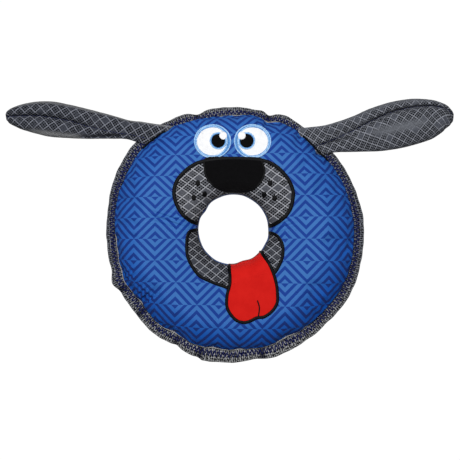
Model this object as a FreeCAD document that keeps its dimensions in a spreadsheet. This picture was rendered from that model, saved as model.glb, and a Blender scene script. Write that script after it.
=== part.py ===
"""Padded flying ring for a dog: a stuffed fabric ring with a dog's face and two floppy ears.

Two annular covers are joined at the hole and at the outer seam, stuffed with fibre round a squeaker, and
bound round the outside with a folded tape. The face is patches and satin-stitched borders on the front
cover. Each ear is two panels round a filling, sewn on at its root, which bends as a hinge.

Frame: millimetres, origin at the centre of the hole on the seam plane, +Z out of the face, +Y to the top
of the head. The ring's outer circles are centred a little below the hole.
"""

import FreeCAD, Part
import Sketcher

import math
import os

V = FreeCAD.Vector
DOC = FreeCAD.newDocument("flying_ring")

SIZES = {
    # stuffed ring
    "hole_radius": 34.0,
    "hole_round": 14.0,  # edge rounding round the hole
    "crown_height": 20.0,  # half of the ring's thickness
    "crown_flat_radius": 84.0,  # the flat of the crown ends here
    "crown_round": 34.0,  # rounding from the flat down to the outer seam
    "ring_drop": 4.0,  # centre of the outer circles, below the hole's
    "cover_thickness": 1.0,
    "brim_radius": 123.5,  # seam allowance inside the binding
    "brim_inner_radius": 113.8,  # inside the cover's shell, so that brim and shell are one
    "allowance_width": 6.0,  # seam allowance turned in round the hole
    # binding and threads
    "binding_radius": 125.0,
    "binding_inner_radius": 114.8,
    "binding_thickness": 0.8,
    "seam_thread_radius": 116.5,
    "hole_thread_offset": 3.0,
    "thread_width": 0.6,
    "zigzag_inner_radius": 116.5,
    "zigzag_outer_radius": 121.5,
    "zigzag_count": 190.0,
    "zigzag_thread": 0.7,
    # squeaker
    "squeaker_place": 70.0,  # below the hole's centre
    "squeaker_radius": 15.0,
    "squeaker_height": 18.0,
    "squeaker_wall": 1.2,
    "squeaker_round": 5.0,
    "squeaker_neck_radius": 5.0,
    "squeaker_neck_length": 6.0,
    # face
    "patch_thickness": 0.6,
    "border_height": 1.2,
    "border_width": 3.0,
    "bore_clearance": 0.4,  # patches stop this far from the hole's wall
    "lobe_place_x": 27.6,
    "lobe_place_y": 36.0,
    "lobe_radius": 32.0,
    "muzzle_bulge": 2.0,
    "nose_half_width": 29.2,
    "nose_half_height": 21.0,
    "nose_place_y": 57.0,
    "nose_top": 68.5,
    "whisker_radius": 2.4,
    "jaw_split": 10.0,  # the tongue parts the lips here, across the face
    "eye_line": -0.8,  # the eyes' middle, across the face
    "eye_radius": 17.5,
    "eye_place_x": 19.3,
    "eye_place_y": 85.4,
    "eye_white_radius": 14.6,
    "eye_white_place_x": 20.4,
    "iris_radius": 8.3,
    "pupil_radius": 6.3,
    "iris_place_x": 13.7,
    "iris_place_y": 86.2,
    "glint_radius": 3.6,
    "glint_place_x": 8.9,
    "glint_place_y": 91.0,
    # ears
    "ear_hinge_radius": 131.0,
    "ear_hinge_height": 4.5,
    "ear_root_thickness": 5.0,  # half, at the hinge
    "ear_seam_thickness": 0.8,
    "ear_seam_depth": 3.0,
    "ear_floor_gap": 0.3,
    "ear_tab_gap": 0.6,  # from the tab to the rounded end of the root
    "ear_tab_length": 12.5,
    "ear_tab_base": 2.5,
    "ear_tab_top": 7.5,
    "left_ear_place": 131.5,  # degrees round the ring
    "left_ear_heading": 172.9,  # degrees, along the ear
    "left_ear_length": 136.0,
    "left_ear_root": 10.5,  # half width at the hinge
    "left_ear_width": 17.2,  # half width at the widest
    "left_ear_depth": 13.0,  # half thickness at the widest
    "left_ear_bow": 2.0,
    "left_ear_seam": 1.0,  # seam plane, above the ear's middle
    "right_ear_place": 44.8,
    "right_ear_heading": 10.3,
    "right_ear_length": 121.0,
    "right_ear_root": 13.5,
    "right_ear_width": 23.0,
    "right_ear_depth": 12.5,
    "right_ear_bow": -2.0,
    "right_ear_seam": 7.0,
}

# Centres of three whisker dots on the right, across and up, in millimetres; the left side mirrors them.
WHISKERS = [(34.8, 44.0), (29.0, 33.5), (38.9, 30.6)]

# Outer edge of the lower jaw's border, right round through the hole.
JAW = [
    (-28.0, 1.5), (-39.5, 1.8), (-44.5, -3.0), (-46.0, -15.0), (-43.5, -31.0), (-35.0, -44.3),
    (-21.0, -53.0), (-7.4, -56.6), (12.0, -57.5), (29.0, -52.0), (41.5, -42.0), (47.5, -32.0),
    (49.2, -19.0), (46.5, -7.5), (39.0, 0.2), (28.0, 1.0), (0.0, -6.0),
]

# Outer edge of the tongue's border, from the hole down the left side and back up the right.
TONGUE = [
    (-5.0, -24.0), (-6.0, -48.0), (-8.8, -68.0), (-5.5, -83.3), (3.0, -90.3), (12.0, -91.8),
    (24.3, -87.8), (36.0, -84.0), (43.3, -74.0), (44.8, -61.0), (41.5, -43.5), (33.8, -29.8),
    (25.0, -16.0), (8.0, -14.0),
]

# The fold line near the tongue's tip.
TONGUE_FOLD = [(23.3, -68.1), (25.2, -75.9), (24.3, -83.6)]

EAR_BELLY = 0.64  # where the ear is widest, as a share of its length
EAR_STATIONS = (-0.12, 0.0, 0.1, 0.2, 0.3, 0.4, 0.5, 0.58, 0.64, 0.7, 0.77, 0.84, 0.9, 0.945)
EAR_TIP = 0.975  # the loft ends here, a little short of the point
EAR_ROOM_TIP = 0.965  # the same inside the cloth
EAR_CORE_TIP = 0.95  # the same inside the seam
FAR = 300.0  # half size of the boxes that stand for half spaces


def make_sheet():
    """Spreadsheet of the driving dimensions, one named cell each."""
    sheet = DOC.addObject("Spreadsheet::Sheet", "Sizes")
    for row, (name, value) in enumerate(SIZES.items(), start=1):
        sheet.set(f"A{row}", name)
        sheet.set(f"B{row}", str(value))
        sheet.setAlias(f"B{row}", name)
    DOC.recompute()
    return sheet


SHEET = make_sheet()


def size(name):
    return float(getattr(SHEET, name))


def bind(item, **properties):
    """Ties properties to expressions over the sheet; a double underscore in a name stands for a dot."""
    for path, expression in properties.items():
        item.setExpression(path.replace("__", "."), expression)


# ---------------------------------------------------------------- primitives


def cylinder(name, radius, height, x="0", y="0", z="0"):
    item = DOC.addObject("Part::Cylinder", name)
    bind(item, Radius=radius, Height=height)
    bind(item, Placement__Base__x=x, Placement__Base__y=y, Placement__Base__z=z)
    return item


def block(name, length, width, height, x, y, z):
    item = DOC.addObject("Part::Box", name)
    bind(item, Length=length, Width=width, Height=height)
    bind(item, Placement__Base__x=x, Placement__Base__y=y, Placement__Base__z=z)
    return item


def cut(name, base, tool):
    item = DOC.addObject("Part::Cut", name)
    item.Base, item.Tool = base, tool
    return item


def common(name, *shapes):
    item = DOC.addObject("Part::MultiCommon", name)
    item.Shapes = list(shapes)
    return item


def fuse(name, *shapes):
    item = DOC.addObject("Part::MultiFuse", name)
    item.Shapes = list(shapes)
    return item


def tube(name, outer, inner, height, z, y="-Sizes.ring_drop"):
    """A flat ring about a vertical axis."""
    return cut(
        name,
        cylinder(name + "_outer", outer, height, y=y, z=z),
        cylinder(name + "_inner", inner, height, y=y, z=z),
    )


# ------------------------------------------------------------ stuffed ring


def plane_of(body, role):
    return next(f for f in body.Origin.OriginFeatures if f.Role == role)


def new_sketch(body, name):
    sketch = body.newObject("Sketcher::SketchObject", name)
    sketch.AttachmentSupport = (plane_of(body, "YZ_Plane"), [""])
    sketch.MapMode = "FlatFace"
    return sketch


def constrain(sketch, rows):
    """Adds constraints; a row that ends in text is a dimension bound to that expression."""
    for row in rows:
        if isinstance(row[-1], str):
            index = sketch.addConstraint(Sketcher.Constraint(*row[:-1]))
            sketch.setExpression(f"Constraints[{index}]", row[-1])
        else:
            sketch.addConstraint(Sketcher.Constraint(*row))


def arc(centre, radius, start, end):
    circle = Part.Circle(V(centre[0], centre[1], 0), V(0, 0, 1), radius)
    return Part.ArcOfCircle(circle, math.radians(start), math.radians(end))


def line(a, b):
    return Part.LineSegment(V(a[0], a[1], 0), V(b[0], b[1], 0))


ORIGIN = (-1, 1)  # the sketch's own origin point
ARC_CENTRE = 3


def crown_sketch(body, name, grow):
    """Half of the lens that the ring fills, beside the outer circles' axis."""
    sketch = new_sketch(body, name)
    axis, flat = -size("ring_drop"), size("crown_flat_radius")
    top, bend, seam = size("crown_height"), size("crown_round"), size("cover_thickness")
    edge = flat + math.sqrt(bend**2 - (seam - top + bend) ** 2)
    lean = math.degrees(math.asin((seam - top + bend) / bend))
    low, high = (axis, -top), (axis, top)
    sketch.addGeometry(line(low, high), True)
    sketch.addGeometry(line(high, (axis + flat, top)), False)
    sketch.addGeometry(arc((axis + flat, top - bend), bend, lean, 90), False)
    sketch.addGeometry(line((axis + edge, seam), (axis + edge, -seam)), False)
    sketch.addGeometry(arc((axis + flat, bend - top), bend, -90, -lean), False)
    sketch.addGeometry(line((axis + flat, -top), low), False)
    sketch.addGeometry(line(low, high), False)
    constrain(
        sketch,
        [
            ("Vertical", 0),
            ("DistanceX", 0, 1, *ORIGIN, size("ring_drop"), "Sizes.ring_drop"),
            ("DistanceY", 0, 1, *ORIGIN, top, "Sizes.crown_height"),
            ("DistanceY", *ORIGIN, 0, 2, top, "Sizes.crown_height"),
            ("Coincident", 1, 2, 2, 2),
            ("Coincident", 2, 1, 3, 1),
            ("Coincident", 3, 2, 4, 2),
            ("Coincident", 4, 1, 5, 1),
            ("Coincident", 5, 2, 6, 1),
            ("Coincident", 6, 2, 1, 1),
            ("Horizontal", 1),
            ("Horizontal", 5),
            ("Vertical", 6),
            ("PointOnObject", 1, 1, 0),
            ("DistanceX", 1, 1, 2, ARC_CENTRE, flat, "Sizes.crown_flat_radius"),
            ("Vertical", 2, ARC_CENTRE, 4, ARC_CENTRE),
            ("Vertical", 2, ARC_CENTRE, 2, 2),
            ("Vertical", 4, ARC_CENTRE, 4, 1),
            ("Radius", 2, bend, "Sizes.crown_round + " + grow),
            ("Radius", 4, bend, "Sizes.crown_round + " + grow),
            ("DistanceY", *ORIGIN, 1, 1, top, "Sizes.crown_height + " + grow),
            ("DistanceY", 6, 1, *ORIGIN, top, "Sizes.crown_height + " + grow),
            ("DistanceY", *ORIGIN, 2, 1, seam, "Sizes.cover_thickness"),
            ("DistanceY", 4, 2, *ORIGIN, seam, "Sizes.cover_thickness"),
        ],
    )
    return sketch


def hole_sketch(body, name, grow):
    """Half of what the hole takes out: a straight wall between two rounded edges."""
    sketch = new_sketch(body, name)
    bend = size("hole_round")
    side, wall = size("hole_radius") + bend, size("crown_height") - bend
    top, far = size("crown_height"), 2 * size("crown_height")
    sketch.addGeometry(line((0, far), (side, far)), False)
    sketch.addGeometry(line((side, far), (side, top)), False)
    sketch.addGeometry(arc((side, wall), bend, 90, 180), False)
    sketch.addGeometry(line((side - bend, wall), (side - bend, -wall)), False)
    sketch.addGeometry(arc((side, -wall), bend, 180, 270), False)
    sketch.addGeometry(line((side, -top), (side, -far)), False)
    sketch.addGeometry(line((side, -far), (0, -far)), False)
    sketch.addGeometry(line((0, -far), (0, far)), False)
    side_text = "Sizes.hole_radius + Sizes.hole_round"
    wall_text = "Sizes.crown_height - Sizes.hole_round"
    constrain(
        sketch,
        [
            ("Coincident", 0, 2, 1, 1),
            ("Coincident", 1, 2, 2, 1),
            ("Coincident", 2, 2, 3, 1),
            ("Coincident", 3, 2, 4, 1),
            ("Coincident", 4, 2, 5, 1),
            ("Coincident", 5, 2, 6, 1),
            ("Coincident", 6, 2, 7, 1),
            ("Coincident", 7, 2, 0, 1),
            ("Horizontal", 0),
            ("Horizontal", 6),
            ("Vertical", 1),
            ("Vertical", 5),
            ("Vertical", 7),
            ("PointOnObject", 0, 1, -2),
            ("DistanceY", *ORIGIN, 0, 1, far, "2 * Sizes.crown_height"),
            ("DistanceY", 7, 1, *ORIGIN, far, "2 * Sizes.crown_height"),
            ("DistanceX", *ORIGIN, 2, ARC_CENTRE, side, side_text),
            ("DistanceY", *ORIGIN, 2, ARC_CENTRE, wall, wall_text),
            ("Vertical", 2, ARC_CENTRE, 4, ARC_CENTRE),
            ("DistanceY", 4, ARC_CENTRE, *ORIGIN, wall, wall_text),
            ("Vertical", 2, ARC_CENTRE, 2, 1),
            ("Horizontal", 2, ARC_CENTRE, 2, 2),
            ("Horizontal", 4, ARC_CENTRE, 4, 1),
            ("Vertical", 4, ARC_CENTRE, 4, 2),
            ("Radius", 2, bend, "Sizes.hole_round + " + grow),
            ("Radius", 4, bend, "Sizes.hole_round + " + grow),
        ],
    )
    return sketch


def cushion(name, grow):
    """The stuffed ring's outside, moved outwards by the expression grow."""
    body = DOC.addObject("PartDesign::Body", name)
    crown = body.newObject("PartDesign::Revolution", name + "_crown")
    crown.Profile = crown_sketch(body, name + "_crown_sketch", grow)
    crown.ReferenceAxis = (crown.Profile[0], ["Axis0"])
    crown.Angle = 360
    DOC.recompute()
    whole = crown.Shape.Volume
    hole = body.newObject("PartDesign::Groove", name + "_hole")
    hole.Profile = hole_sketch(body, name + "_hole_sketch", grow)
    hole.ReferenceAxis = (hole.Profile[0], ["V_Axis"])
    hole.Angle = 360
    DOC.recompute()
    if hole.Shape.Volume > 0.99 * whole:
        raise RuntimeError(f"the groove in {name} cut nothing")
    return body


def half_space(name, z):
    return block(name, str(2 * FAR), str(2 * FAR), str(FAR), str(-FAR), str(-FAR), z)


def make_covers(stuffed, hollow):
    """Front and back covers, each a shell with a brim outside and an allowance inside the hole."""
    shell = cut("cover_shell", stuffed, hollow)
    covers = {}
    for side, low in (("front", "0"), ("back", "-Sizes.cover_thickness")):
        half = half_space(f"{side}_half", "0" if side == "front" else str(-FAR))
        brim = tube(
            f"{side}_brim", "Sizes.brim_radius", "Sizes.brim_inner_radius", "Sizes.cover_thickness", low
        )
        allowance = tube(
            f"{side}_allowance",
            "Sizes.hole_radius + Sizes.allowance_width",
            "Sizes.hole_radius",
            "Sizes.cover_thickness",
            low,
            y="0",
        )
        whole = fuse(f"{side}_whole", common(f"{side}_shell", shell, half), brim, allowance)
        sewn = cut(f"{side}_sewn", whole, seam_thread(f"{side}_needle_path"))
        covers[side] = cut(f"{side}_cover", sewn, hole_thread(f"{side}_hole_needle_path"))
    return covers


def thread_ring(name, middle, y):
    return tube(
        name,
        middle + " + Sizes.thread_width / 2",
        middle + " - Sizes.thread_width / 2",
        "2 * Sizes.thread_width",
        "-Sizes.thread_width",
        y=y,
    )


def seam_thread(name):
    """Thread through both brims, just outside the stuffed ring."""
    return thread_ring(name, "Sizes.seam_thread_radius", "-Sizes.ring_drop")


def hole_thread(name):
    """Thread through both allowances, inside the ring round the hole."""
    return thread_ring(name, "Sizes.hole_radius + Sizes.hole_thread_offset", "0")


def make_filling(hollow, squeaker_room):
    """Fibre that fills the covers, clear of the allowances and the squeaker."""
    allowances = tube(
        "allowance_room",
        "Sizes.hole_radius + Sizes.allowance_width",
        "Sizes.hole_radius - Sizes.hole_round / 2",
        "2 * Sizes.cover_thickness",
        "-Sizes.cover_thickness",
        y="0",
    )
    clear = cut("filling_clear_of_allowances", hollow, allowances)
    return cut("fibre_filling", clear, squeaker_room)


def make_squeaker():
    """A hollow bulb with a neck, the reed in the neck, and the room that both take up."""
    place = "-Sizes.squeaker_place"
    base = "-Sizes.squeaker_height / 2"
    outside = cylinder("squeaker_outside", "Sizes.squeaker_radius", "Sizes.squeaker_height", y=place, z=base)
    neck = cylinder(
        "squeaker_neck", "Sizes.squeaker_neck_radius", "Sizes.squeaker_neck_length", y=place,
        z="Sizes.squeaker_height / 2",
    )
    solid = fuse("squeaker_solid", outside, neck)
    rounded = DOC.addObject("Part::Fillet", "squeaker_room")
    rounded.Base = solid
    DOC.recompute()
    wide = [
        (number, size("squeaker_round"), size("squeaker_round"))
        for number, edge in enumerate(solid.Shape.Edges, start=1)
        if isinstance(edge.Curve, Part.Circle) and edge.Curve.Radius > size("squeaker_radius") - 1
    ]
    rounded.Edges = wide
    air = cylinder(
        "squeaker_air",
        "Sizes.squeaker_radius - 2 * Sizes.squeaker_wall",
        "Sizes.squeaker_height - 2 * Sizes.squeaker_wall",
        y=place,
        z=base + " + Sizes.squeaker_wall",
    )
    channel = cylinder(
        "squeaker_channel",
        "Sizes.squeaker_neck_radius - Sizes.squeaker_wall",
        "Sizes.squeaker_neck_length + 2 * Sizes.squeaker_wall",
        y=place,
        z="Sizes.squeaker_height / 2 - Sizes.squeaker_wall",
    )
    bulb = cut("squeaker_bulb", rounded, fuse("squeaker_hollow", air, channel))
    reed_body = cylinder(
        "reed_body",
        "Sizes.squeaker_neck_radius - Sizes.squeaker_wall",
        "Sizes.squeaker_neck_length",
        y=place,
        z="Sizes.squeaker_height / 2",
    )
    reed_hole = cylinder(
        "reed_hole", "Sizes.squeaker_wall", "Sizes.squeaker_neck_length", y=place,
        z="Sizes.squeaker_height / 2",
    )
    reed = cut("squeaker_reed", reed_body, reed_hole)
    return bulb, reed, rounded


# --------------------------------------------------------- binding and threads


def make_binding():
    """Tape folded over the brims all the way round."""
    outside = tube(
        "binding_outside",
        "Sizes.binding_radius",
        "Sizes.binding_inner_radius",
        "2 * (Sizes.cover_thickness + Sizes.binding_thickness)",
        "-Sizes.cover_thickness - Sizes.binding_thickness",
    )
    slot = cylinder(
        "binding_slot",
        "Sizes.binding_radius - Sizes.binding_thickness",
        "2 * Sizes.cover_thickness",
        y="-Sizes.ring_drop",
        z="-Sizes.cover_thickness",
    )
    return cut("edge_binding", outside, slot)


def make_zigzag(name, z):
    """Zigzag stitch round the tape, as one flat closed thread standing on it."""
    count = int(size("zigzag_count"))
    inner, outer = size("zigzag_inner_radius"), size("zigzag_outer_radius")
    step = math.pi * (inner + outer) / 2 / count
    half = size("zigzag_thread") / 2 * math.hypot(step, outer - inner) / step
    rims = []
    for shift in (half, -half):
        corners = []
        for k in range(2 * count):
            angle = math.pi * k / count
            radius = (inner if k % 2 else outer) + shift
            corners.append(V(radius * math.cos(angle), radius * math.sin(angle), 0))
        rims.append(Part.makePolygon(corners + corners[:1]))
    thread = Part.makeFace(rims, "Part::FaceMakerBullseye").extrude(V(0, 0, size("zigzag_thread") / 2))
    item = DOC.addObject("Part::Feature", name)
    item.Shape = thread
    item.Placement.Base = V(0, -size("ring_drop"), z)
    return item


# ------------------------------------------------------------------- face


def prism(name, face):
    """A tall column over a flat outline, clear of the hole."""
    outline = DOC.addObject("Part::Feature", name + "_outline")
    outline.Shape = face
    column = DOC.addObject("Part::Extrusion", name + "_column")
    column.Base = outline
    column.DirMode = "Custom"
    column.Dir = V(0, 0, 1)
    column.Solid = True
    bind(column, LengthFwd="2 * Sizes.crown_height")
    reach = "Sizes.hole_radius + Sizes.bore_clearance"
    return cut(name, column, cylinder(name + "_bore", reach, "2 * Sizes.crown_height"))


def smooth_face(points):
    """Face inside a smooth closed curve through the points."""
    curve = Part.BSplineCurve()
    curve.interpolate([V(x, y, 0) for x, y in points], PeriodicFlag=True)
    return Part.Face(Part.Wire([curve.toShape()]))


def inset(points, depth):
    """The same outline moved inwards; the points run anticlockwise round it."""
    moved = []
    for k, (x, y) in enumerate(points):
        before, after = points[k - 1], points[(k + 1) % len(points)]
        along_x, along_y = after[0] - before[0], after[1] - before[1]
        length = math.hypot(along_x, along_y)
        moved.append((x - depth * along_y / length, y + depth * along_x / length))
    return moved


def muzzle_face(depth):
    """Two round lobes under a slightly bulging top edge."""
    x, y = size("lobe_place_x"), size("lobe_place_y")
    radius, bulge = size("lobe_radius") - depth, size("muzzle_bulge")
    left_top, right_top = V(-x, y + radius, 0), V(x, y + radius, 0)
    left_low, right_low = V(-x, y - radius, 0), V(x, y - radius, 0)
    edges = [
        Part.Arc(left_top, V(0, y + radius + bulge, 0), right_top).toShape(),
        Part.Arc(right_top, V(x + radius, y, 0), right_low).toShape(),
        Part.makeLine(right_low, left_low),
        Part.Arc(left_low, V(-x - radius, y, 0), left_top).toShape(),
    ]
    return Part.Face(Part.Wire(edges))


def nose_face():
    """Half an ellipse below, closed by a flatter top that meets the muzzle's border."""
    across, down = size("nose_half_width"), size("nose_half_height")
    y, top = size("nose_place_y"), size("nose_top")
    ellipse = Part.Ellipse(V(0, y, 0), across, down)
    corner = across - size("border_width")
    edges = [
        Part.ArcOfEllipse(ellipse, math.pi, 2 * math.pi).toShape(),
        Part.makeLine(V(across, y, 0), V(corner, top, 0)),
        Part.makeLine(V(corner, top, 0), V(-corner, top, 0)),
        Part.makeLine(V(-corner, top, 0), V(-across, y, 0)),
    ]
    return Part.Face(Part.Wire(edges))


def fold_face():
    """A narrow strip along the tongue's fold."""
    half = size("zigzag_thread")
    top, middle, tip = [V(x, y, 0) for x, y in TONGUE_FOLD]
    edges = [
        Part.Arc(top + V(-half, 0, 0), middle + V(-half, 0, 0), tip + V(-half, 0, 0)).toShape(),
        Part.makeLine(tip + V(-half, 0, 0), tip + V(half, 0, 0)),
        Part.Arc(tip + V(half, 0, 0), middle + V(half, 0, 0), top + V(half, 0, 0)).toShape(),
        Part.makeLine(top + V(half, 0, 0), top + V(-half, 0, 0)),
    ]
    return Part.Face(Part.Wire(edges))


def make_layers(stuffed, patched, raised):
    """The thin layers over the front cover that patches and borders are cut from."""
    patch = cut("patch_layer", patched, stuffed)
    border = cut("border_layer", raised, stuffed)
    top = cut("top_layer", raised, patched)
    return patch, border, top


def make_face(patch, border, top):
    """Every patch, border and embroidered detail of the face, by node name."""
    width = size("border_width")
    muzzle_out = prism("muzzle_out", muzzle_face(0))
    muzzle_in = prism("muzzle_in", muzzle_face(width))
    tongue_out = prism("tongue_out", smooth_face(TONGUE))
    tongue_in = prism("tongue_in", smooth_face(inset(TONGUE, width)))
    jaw_out = prism("jaw_out", smooth_face(JAW))
    jaw_in = prism("jaw_in", smooth_face(inset(JAW, width)))
    fold = prism("tongue_fold", fold_face())
    nodes = {
        "muzzle_patch": common("muzzle_patch", patch, muzzle_in),
        "muzzle_border": common("muzzle_border", border, cut("muzzle_rim", muzzle_out, muzzle_in)),
        "tongue_border": common("tongue_border", border, cut("tongue_rim", tongue_out, tongue_in)),
        "tongue_patch": common("tongue_patch", patch, tongue_in),
        "tongue_crease": common("tongue_crease", top, common("fold_in_tongue", fold, tongue_in)),
        "nose_patch": common("nose_patch", top, common("nose_in", prism("nose", nose_face()), muzzle_in)),
    }
    jaw_rim = cut("jaw_rim_clear", cut("jaw_rim", jaw_out, jaw_in), tongue_out)
    jaw_cloth = cut("jaw_cloth", jaw_in, tongue_out)
    for side, x in (("left", str(-FAR)), ("right", "Sizes.jaw_split")):
        half = block(f"{side}_jaw_half", str(FAR), str(2 * FAR), str(FAR), x, str(-FAR), "0")
        nodes[f"{side}_lip_patch"] = common(f"{side}_lip_patch", patch, jaw_cloth, half)
        nodes[f"{side}_lip_border"] = common(f"{side}_lip_border", border, jaw_rim, half)
    dots = [
        cylinder(f"whisker_{number}_{side}", "Sizes.whisker_radius", "2 * Sizes.crown_height",
                 x=str(mirror * x), y=str(y))
        for number, (x, y) in enumerate(WHISKERS)
        for side, mirror in (("left", -1), ("right", 1))
    ]
    nodes["whisker_dots"] = common("whisker_dots", top, fuse("whisker_columns", *dots))
    for side, sign in (("left", "-"), ("right", "+")):
        nodes.update(make_eye(side, sign, patch, border, top, muzzle_out))
    return nodes


def make_eye(side, sign, patch, border, top, muzzle):
    """One eye: a border round a white, and an iris ring, a pupil and a glint on it."""

    def column(part, place_x, place_y):
        return cylinder(
            f"{side}_{part}_column",
            f"Sizes.{part}_radius",
            "2 * Sizes.crown_height",
            x=f"Sizes.eye_line {sign} Sizes.{place_x}_place_x",
            y=f"Sizes.{place_y}_place_y",
        )

    whole = cut(f"{side}_eye_area", column("eye", "eye", "eye"), muzzle)
    white = common(f"{side}_white_area", column("eye_white", "eye_white", "eye"), whole)
    iris = column("iris", "iris", "iris")
    pupil = column("pupil", "iris", "iris")
    glint = column("glint", "glint", "glint")
    ring = cut(f"{side}_iris_area", cut(f"{side}_iris_band", iris, pupil), glint)
    return {
        f"{side}_eye_border": common(f"{side}_eye_border", border, cut(f"{side}_eye_rim", whole, white)),
        f"{side}_eye_white": common(f"{side}_eye_white", patch, white),
        f"{side}_iris_ring": common(f"{side}_iris_ring", top, common(f"{side}_iris_in", ring, white)),
        f"{side}_pupil": common(f"{side}_pupil", top, cut(f"{side}_pupil_area", pupil, glint)),
        f"{side}_glint": common(f"{side}_glint", top, common(f"{side}_glint_in", glint, white)),
    }


# ------------------------------------------------------------------- ears


class Ear:
    """Places and sizes of one ear. The ear runs along `heading` from a hinge tangent to the ring."""

    def __init__(self, side):
        self.side = side
        place = math.radians(self.size("place"))
        heading = math.radians(self.size("heading"))
        self.outward = V(math.cos(place), math.sin(place), 0)
        self.along = V(math.cos(heading), math.sin(heading), 0)
        self.across = V(-math.sin(heading), math.cos(heading), 0)
        centre = V(0, -size("ring_drop"), size("ear_hinge_height"))
        self.hinge = centre + self.outward * size("ear_hinge_radius")

    def size(self, name):
        return size(f"{self.side}_ear_{name}")

    def swell(self, share):
        """0 at the hinge, 1 at the belly, back to 0 at the tip."""
        if share <= 0:
            return 0.0
        if share < EAR_BELLY:
            return 0.5 - 0.5 * math.cos(math.pi * share / EAR_BELLY)
        return math.sqrt(1 - ((share - EAR_BELLY) / (1 - EAR_BELLY)) ** 2)

    def radius_text(self, share, belly, root, shrink):
        """Expression for a section's radius: from root to belly, then closing to nothing."""
        swell = self.swell(share)
        if share < EAR_BELLY:
            return f"{root} + ({belly} - {root}) * {swell:.4f} - {shrink}"
        return f"{belly} * {swell:.4f} - {shrink}"

    def height(self, share):
        """The ear's middle sinks until its belly is just above what the ring lies on."""
        low = -size("crown_height") + self.size("depth") + size("ear_floor_gap")
        drop = min(max(share / EAR_BELLY, 0.0), 1.0)
        return (low - size("ear_hinge_height")) * drop * drop * (3 - 2 * drop)

    def section(self, name, share, shrink):
        ellipse = DOC.addObject("Part::Ellipse", name)
        across = self.radius_text(
            share, f"Sizes.{self.side}_ear_width", f"Sizes.{self.side}_ear_root", shrink
        )
        deep = self.radius_text(share, f"Sizes.{self.side}_ear_depth", "Sizes.ear_root_thickness", shrink)
        bind(ellipse, MajorRadius=across, MinorRadius=deep)
        bow = self.size("bow") * math.sin(math.pi * max(share, 0.0))
        place = self.hinge + self.along * (share * self.size("length")) + self.across * bow
        place.z += self.height(share)
        turn = FreeCAD.Rotation(self.across, V(0, 0, 1), self.along, "XYZ")
        ellipse.Placement = FreeCAD.Placement(place, turn)
        return ellipse

    def leaf(self, name, shrink, tip):
        loft = DOC.addObject("Part::Loft", name)
        shares = [*EAR_STATIONS, tip]
        loft.Sections = [
            self.section(f"{name}_{number}", share, shrink) for number, share in enumerate(shares)
        ]
        loft.Solid = True
        loft.Ruled = False
        return loft

    def beyond_hinge(self, name, distance):
        """Half space further out than the hinge line."""
        item = DOC.addObject("Part::Box", name)
        bind(item, Length=str(FAR), Width=str(FAR), Height=str(FAR))
        turn = FreeCAD.Rotation(V(0, 0, 1), self.size("place"))
        corner = self.hinge + self.outward * distance
        item.Placement = FreeCAD.Placement(corner, turn).multiply(
            FreeCAD.Placement(V(0, -FAR / 2, -FAR / 2), FreeCAD.Rotation())
        )
        return item

    def root_roll(self, name):
        """A round bar along the hinge line, which rounds the root's end."""
        item = DOC.addObject("Part::Cylinder", name)
        half = 2 * self.size("root")
        bind(item, Radius="Sizes.ear_root_thickness", Height=str(2 * half))
        tangent = V(0, 0, 1).cross(self.outward)
        turn = FreeCAD.Rotation(V(0, 0, 1), tangent)
        item.Placement = FreeCAD.Placement(self.hinge - tangent * half, turn)
        return item

    def slab(self, name, thickness, low):
        """A slab that stands on the seam plane, thickness mm thick, from low mm above it."""
        item = DOC.addObject("Part::Box", name)
        bind(item, Length=str(2 * FAR), Width=thickness, Height=str(FAR))
        turn = FreeCAD.Rotation(V(0, 0, 1), self.size("heading"))
        shift = V(-FAR, self.seam_side() * self.size("seam") + low, -FAR / 2)
        item.Placement = FreeCAD.Placement(self.hinge, turn).multiply(
            FreeCAD.Placement(shift, FreeCAD.Rotation())
        )
        return item

    def seam_side(self):
        """Which way across the ear is towards the top of the head."""
        return 1.0 if self.across.y > 0 else -1.0


def make_tab(ear, name, stuffed):
    """The ear's sewn-down root: a thin block between the ring's edge and the hinge."""
    box = DOC.addObject("Part::Box", f"{name}_block")
    half = ear.size("root") / ear.outward.dot(ear.along)
    bind(box, Length="Sizes.ear_tab_length", Width=str(2 * half))
    bind(box, Height="Sizes.ear_tab_top - Sizes.ear_tab_base")
    reach = size("ear_hinge_radius") - size("ear_root_thickness") - size("ear_tab_gap")
    start = V(0, -size("ring_drop"), size("ear_tab_base")) + ear.outward * (reach - size("ear_tab_length"))
    turn = FreeCAD.Rotation(V(0, 0, 1), ear.size("place"))
    box.Placement = FreeCAD.Placement(start, turn).multiply(
        FreeCAD.Placement(V(0, -half, 0), FreeCAD.Rotation())
    )
    return cut(name, box, stuffed)


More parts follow.
